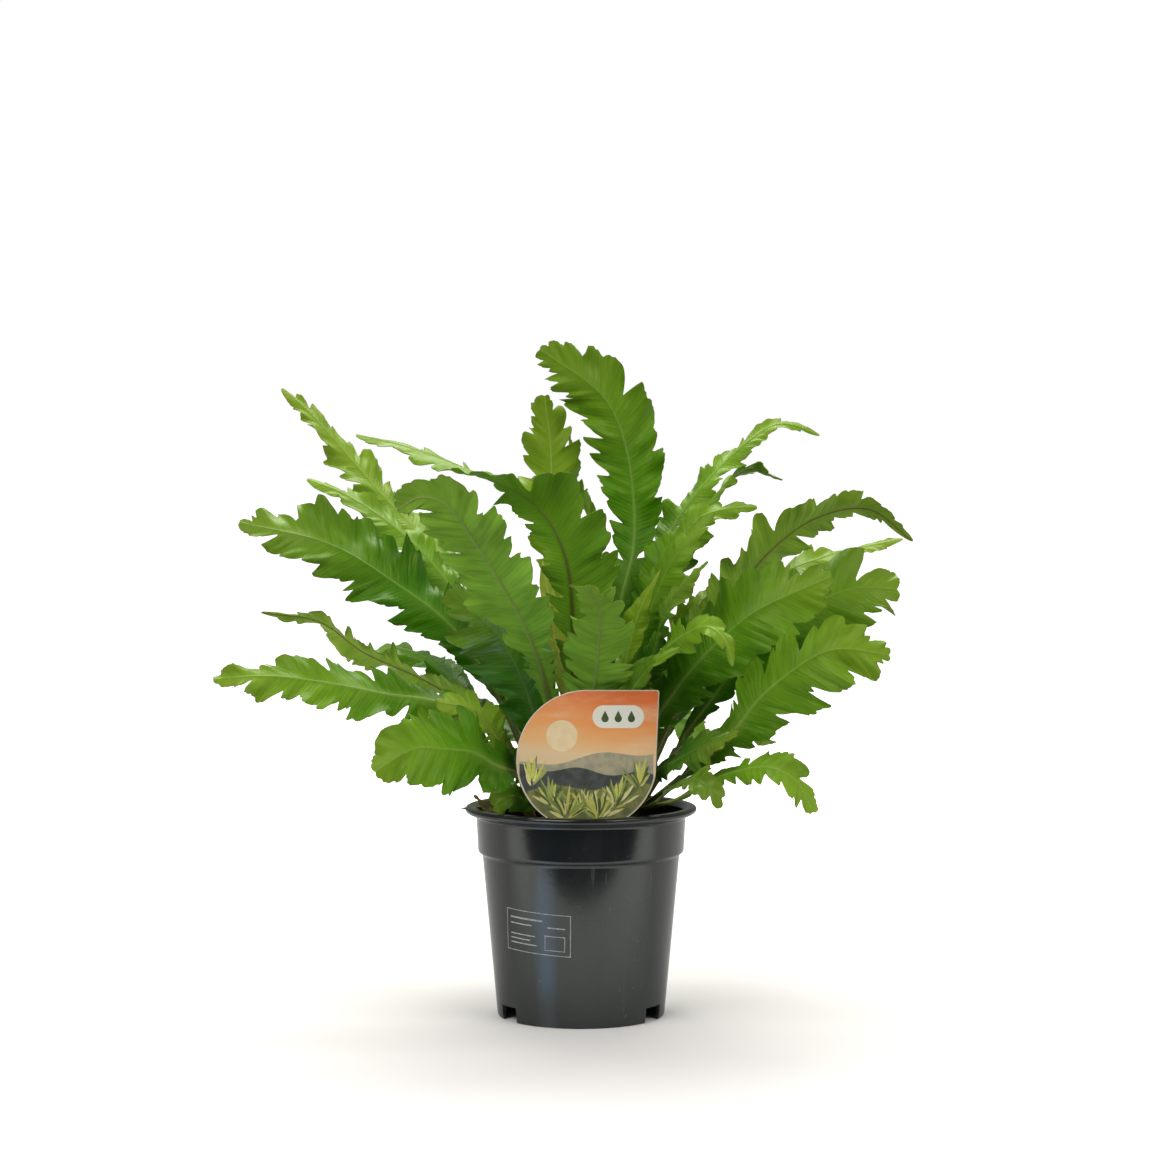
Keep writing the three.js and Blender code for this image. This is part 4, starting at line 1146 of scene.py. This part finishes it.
def label_waves(materials):
    """Plain wavy bands across the foot of the picture, each over the one before."""
    radius = CARD_RADIUS - 0.9
    for k, ((height, rise, length, phase, slope), material) in enumerate(zip(WAVES, materials)):
        xs = np.linspace(-radius, radius - 1.2, 90)
        tops = height + rise * np.sin(FULL_TURN * xs / length + phase) + slope * xs
        low = -np.sqrt(np.maximum(0, radius**2 - xs**2))
        keep = tops > low + 0.2
        tops = np.where(xs < 0, np.minimum(tops, -low - 0.1), tops)
        xs, tops, low = xs[keep], tops[keep], low[keep]
        outline = list(zip(xs, low)) + list(zip(xs[::-1], tops[::-1]))
        printed(f"label_wave_{k + 1}", area(outline, 0.045 + 0.012 * k), material)


def label_leaves(materials):
    """Plain pointed leaves that spread from a few tufts along the foot of the card."""
    random = np.random.default_rng(12)
    parts, kinds = [], []
    for x, z, count, spread in TUFTS:
        for k in range(count):
            lean = spread * (2 * (k + random.uniform(0.1, 0.9)) / count - 1)
            start = random.uniform(0, 5)
            at = (x - start * math.sin(lean), z + start * math.cos(lean))
            length = random.uniform(7, 16) * (1 - 0.25 * abs(lean))
            outline = leaf_outline(*at, length, random.uniform(1.1, 2.1), lean)
            if max(math.hypot(*p) for p in outline) <= CARD_RADIUS - 1.2:
                parts.append(area(outline, 0.09 + 0.0009 * len(parts)))
                kinds += [int(random.integers(len(materials)))] * len(parts[-1][1])
    obj = printed("label_leaves", join(parts), materials)
    obj.data.polygons.foreach_set("material_index", kinds)


def label_panel(cream, green):
    """A plain cream panel with three drops."""
    left, foot, right, top = PANEL_BOX
    inner = (left + PANEL_CORNER, foot + PANEL_CORNER, right - PANEL_CORNER, top - PANEL_CORNER)
    outline = []
    for k, (x, z) in enumerate(((2, 3), (0, 3), (0, 1), (2, 1))):
        outline += arc(PANEL_CORNER, k * math.pi / 2, (k + 1) * math.pi / 2, 12, (inner[x], inner[z]))
    printed("label_panel", area(outline, 0.08), cream)
    drops = [arc(1.9, -math.pi * 1.2, math.pi * 0.2, 22, (x, 22)) + [(x, 26.2)] for x in DROPS]
    printed("label_drops", join(area(drop, 0.1) for drop in drops), green)


# The object.
tones = {
    name: leaf_material("leaf_" + name, *colours, highlight_paint=BLUE_PAINTED_HIGHLIGHT_AND_TINT if name == "sheen" else PAINTED_HIGHLIGHT_AND_TINT,
                        brown_to=0.62 if name in ("pale", "olive") else 0.8)
    for name, colours in LEAF_TONES.items()
}
for index, frond in enumerate(FRONDS):
    frond_object(frond, index, tones[frond["tone"]])

pot_object(pot_material())
pot_print(print_material("pot_print_grey", (0.4, 0.42, 0.44), (0.27, 0.29, 0.31), 0.45))
peat = peat_material("moist_peat", (0.012, 0.007, 0.004), (0.035, 0.02, 0.011), (0.085, 0.05, 0.028))
soil_object(peat)
crumbs_object(peat)
crown_object(peat_material("crown_scale", (0.03, 0.017, 0.009), (0.07, 0.04, 0.02), (0.14, 0.09, 0.045)))
litter_object(leaf_material("dry_bits", *DRY_TONE))

LABEL_PRINTS = {
    "pale_sun": ((0.88, 0.72, 0.46), (0.85, 0.66, 0.4)),
    "haze": ((0.439, 0.403, 0.268), (0.329, 0.317, 0.232)),
    "slate": ((0.091, 0.098, 0.098), (0.061, 0.067, 0.067)),
    "moss": ((0.244, 0.256, 0.098), (0.146, 0.171, 0.067)),
    "leaf_yellow": ((0.61, 0.61, 0.146), (0.512, 0.537, 0.122)),
    "leaf_olive": ((0.268, 0.305, 0.098), (0.195, 0.244, 0.073)),
    "leaf_green": ((0.366, 0.439, 0.122), (0.268, 0.342, 0.085)),
    "leaf_pale": ((0.756, 0.708, 0.342), (0.634, 0.61, 0.244)),
    "leaf_dark": ((0.122, 0.159, 0.061), (0.085, 0.122, 0.049)),
    "cream": ((0.86, 0.86, 0.805), (0.86, 0.842, 0.72)),
    "dark_green": ((0.085, 0.122, 0.049), (0.061, 0.098, 0.037)),
}
prints = {name: print_material("print_" + name, *colours) for name, colours in LABEL_PRINTS.items()}
label_object(print_material("card_plastic", (0.76, 0.73, 0.64), (0.7, 0.66, 0.57)), sky_material())
printed("label_sun", area(arc(SUN_RADIUS, 0, FULL_TURN, 61, SUN_CENTRE)[:-1], 0.04), prints["pale_sun"])
label_waves([prints[name] for name in ("haze", "slate", "moss")])
label_leaves([made for name, made in prints.items() if name.startswith("leaf_")])
label_panel(prints["cream"], prints["dark_green"])

# Floor, light and camera.
FLOOR_HALF = 60000  # in millimetres; all other sizes here are in metres
PAINTED_BEAM_FROM = 0.026  # how far in front of the pot's axis the two edges of the painted bluish beam, seen only in reflections, would meet
PAINTED_BEAM_TURN = 0.8  # radians, from straight ahead to the left
AMBIENT = (0.2, 0.5)  # toward the camera, and at the sides and the back
LAMP_COLOUR = (1.0, 0.965, 0.9)
LAMP_AIM = Vector((0, 0, 0.18))
LAMPS = {
    # place, size, power
    "key": ((-0.9, -1.3, 1.5), (1.3, 1.3), 22),
    "fill": ((1.2, -1.0, 1.1), (1.2, 1.2), 11.5),
    "top": ((0.0, 0.8, 1.6), (1.4, 1.0), 30),
}
CAMERA = (0, -1.486, 0.2865)
IMAGE = 1168  # the photograph's side in pixels, in which the next three are too
FOCAL = 2757.8
HORIZON = 484.2
POT_AXIS = 581


def floor_object():
    s = Shader("pale_floor", {"Specular IOR Level": 0.1})
    x, y = s.axis("X"), s.axis("Y")
    near = y * 0.75
    reach = s.math("SQRT", x * x + near * near)
    # Painted reflections: to all rays but the camera's, the floor ends in a dark sheet a little in front of
    # the pot, like a table's edge. Glossy rays also see it duller at the sides and behind, glowing just in
    # front of the pot, and with a glowing bluish beam on it.
    glossy = s.ray("Glossy")
    painted_table = s.math("MAXIMUM", s.ray("Camera"), s.step(y, -0.255, -0.23))
    # Painted light: the floor glows more the farther it is from the pot, so it turns white far off and lights
    # the plant from below; glossy rays see little of it.
    glow = s.math("MAXIMUM", s.step(reach, 0.13, 0.72, 0.85) * (painted_table - glossy * 0.9), 0.0)
    # Painted reflection: glossy rays see the floor just in front of the pot glow.
    front = s.step(y, 0, -0.12, 0.35) * glossy * painted_table
    # Painted reflection: a glowing bluish beam that only glossy rays see.
    turn = s.math("ARCTAN2", x, y * -1 - PAINTED_BEAM_FROM)
    painted_beam = s.step(s.math("ABSOLUTE", turn + PAINTED_BEAM_TURN), 0.38, 0.04) * glossy * s.step(reach, 0.38, 0.2, 1.35)
    painted_beam = painted_beam * s.step(reach, 0.055, 0.1, 1, 0.35) * s.step(y, -0.33, -0.25)
    # Painted reflection: glossy rays see the floor at the sides and behind duller.
    painted_dimming = s.step(y, -0.16, 0.02) * glossy * 0.45
    glow_colour = s.coats((1, 1, 1), (glossy, (1.0, 1.0, 0.9)), (painted_beam, (0.42, 0.68, 1.0)))
    s.set(s.bsdf, {"Emission Color": glow_colour, "Emission Strength": s.math("MAXIMUM", glow + front, painted_beam)})
    # Painted reflection: a dark sheet where the painted table ends, for rays other than the camera's.
    material = s.finish(s.mix(painted_table - painted_table * painted_dimming, (0.03, 0.035, 0.04), (0.836, 0.824, 0.828)), 0.8)
    corners = [(x * FLOOR_HALF, y * FLOOR_HALF, 0) for x, y in ((-1, -1), (1, -1), (1, 1), (-1, 1))]
    new_object("floor", (corners, [(0, 1, 2, 3)]), material)


def aim(obj, at, ahead):
    """Puts a lamp or the camera at its place, looking ahead."""
    obj.location = at
    obj.rotation_mode = "QUATERNION"
    obj.rotation_quaternion = ahead.to_track_quat("-Z", "Y")
    return obj


def studio():
    """White for the camera, a soft light from all round that is dimmer from the front, and three lamps."""
    world = bpy.data.worlds.new("studio")
    bpy.context.scene.world = world
    world.use_nodes = True
    world.node_tree.nodes.clear()
    s = Nodes(world.node_tree)
    y = s.axis("Y", s.node("TexCoord", {}, "Generated"))
    ambient = s.node("MapRange", {0: y, 1: -0.95, 2: 0.1, 3: AMBIENT[0], 4: AMBIENT[1]})
    lit = s.node("Background", {0: (0.97, 0.98, 1.0), 1: (s.ray("Glossy") * -0.6 + 1) * ambient})
    seen = s.node("Background", {0: (1, 1, 1)})
    shader = s.node("MixShader", {0: s.ray("Camera"), 1: lit, 2: seen})
    s.set(s.tree.nodes.new("ShaderNodeOutputWorld"), {0: shader})
    for name, (at, size, power) in LAMPS.items():
        data = bpy.data.lights.new(name, "AREA")
        data.shape, data.size, data.size_y = "RECTANGLE", *size
        data.energy, data.color = power, LAMP_COLOUR
        aim(link(name, data), at, LAMP_AIM - Vector(at))
    view = bpy.context.scene.view_settings
    view.view_transform, view.look, view.exposure, view.gamma = "Standard", "None", 0, 1


def camera():
    data = bpy.data.cameras.new("camera")
    data.sensor_width, data.lens = 36, 36 * FOCAL / IMAGE
    ahead = Vector(((IMAGE / 2 - POT_AXIS) / FOCAL, 1, (HORIZON - IMAGE / 2) / FOCAL))
    bpy.context.scene.camera = aim(link("camera", data), CAMERA, ahead)


floor_object()
studio()
camera()
bpy.context.view_layer.update()
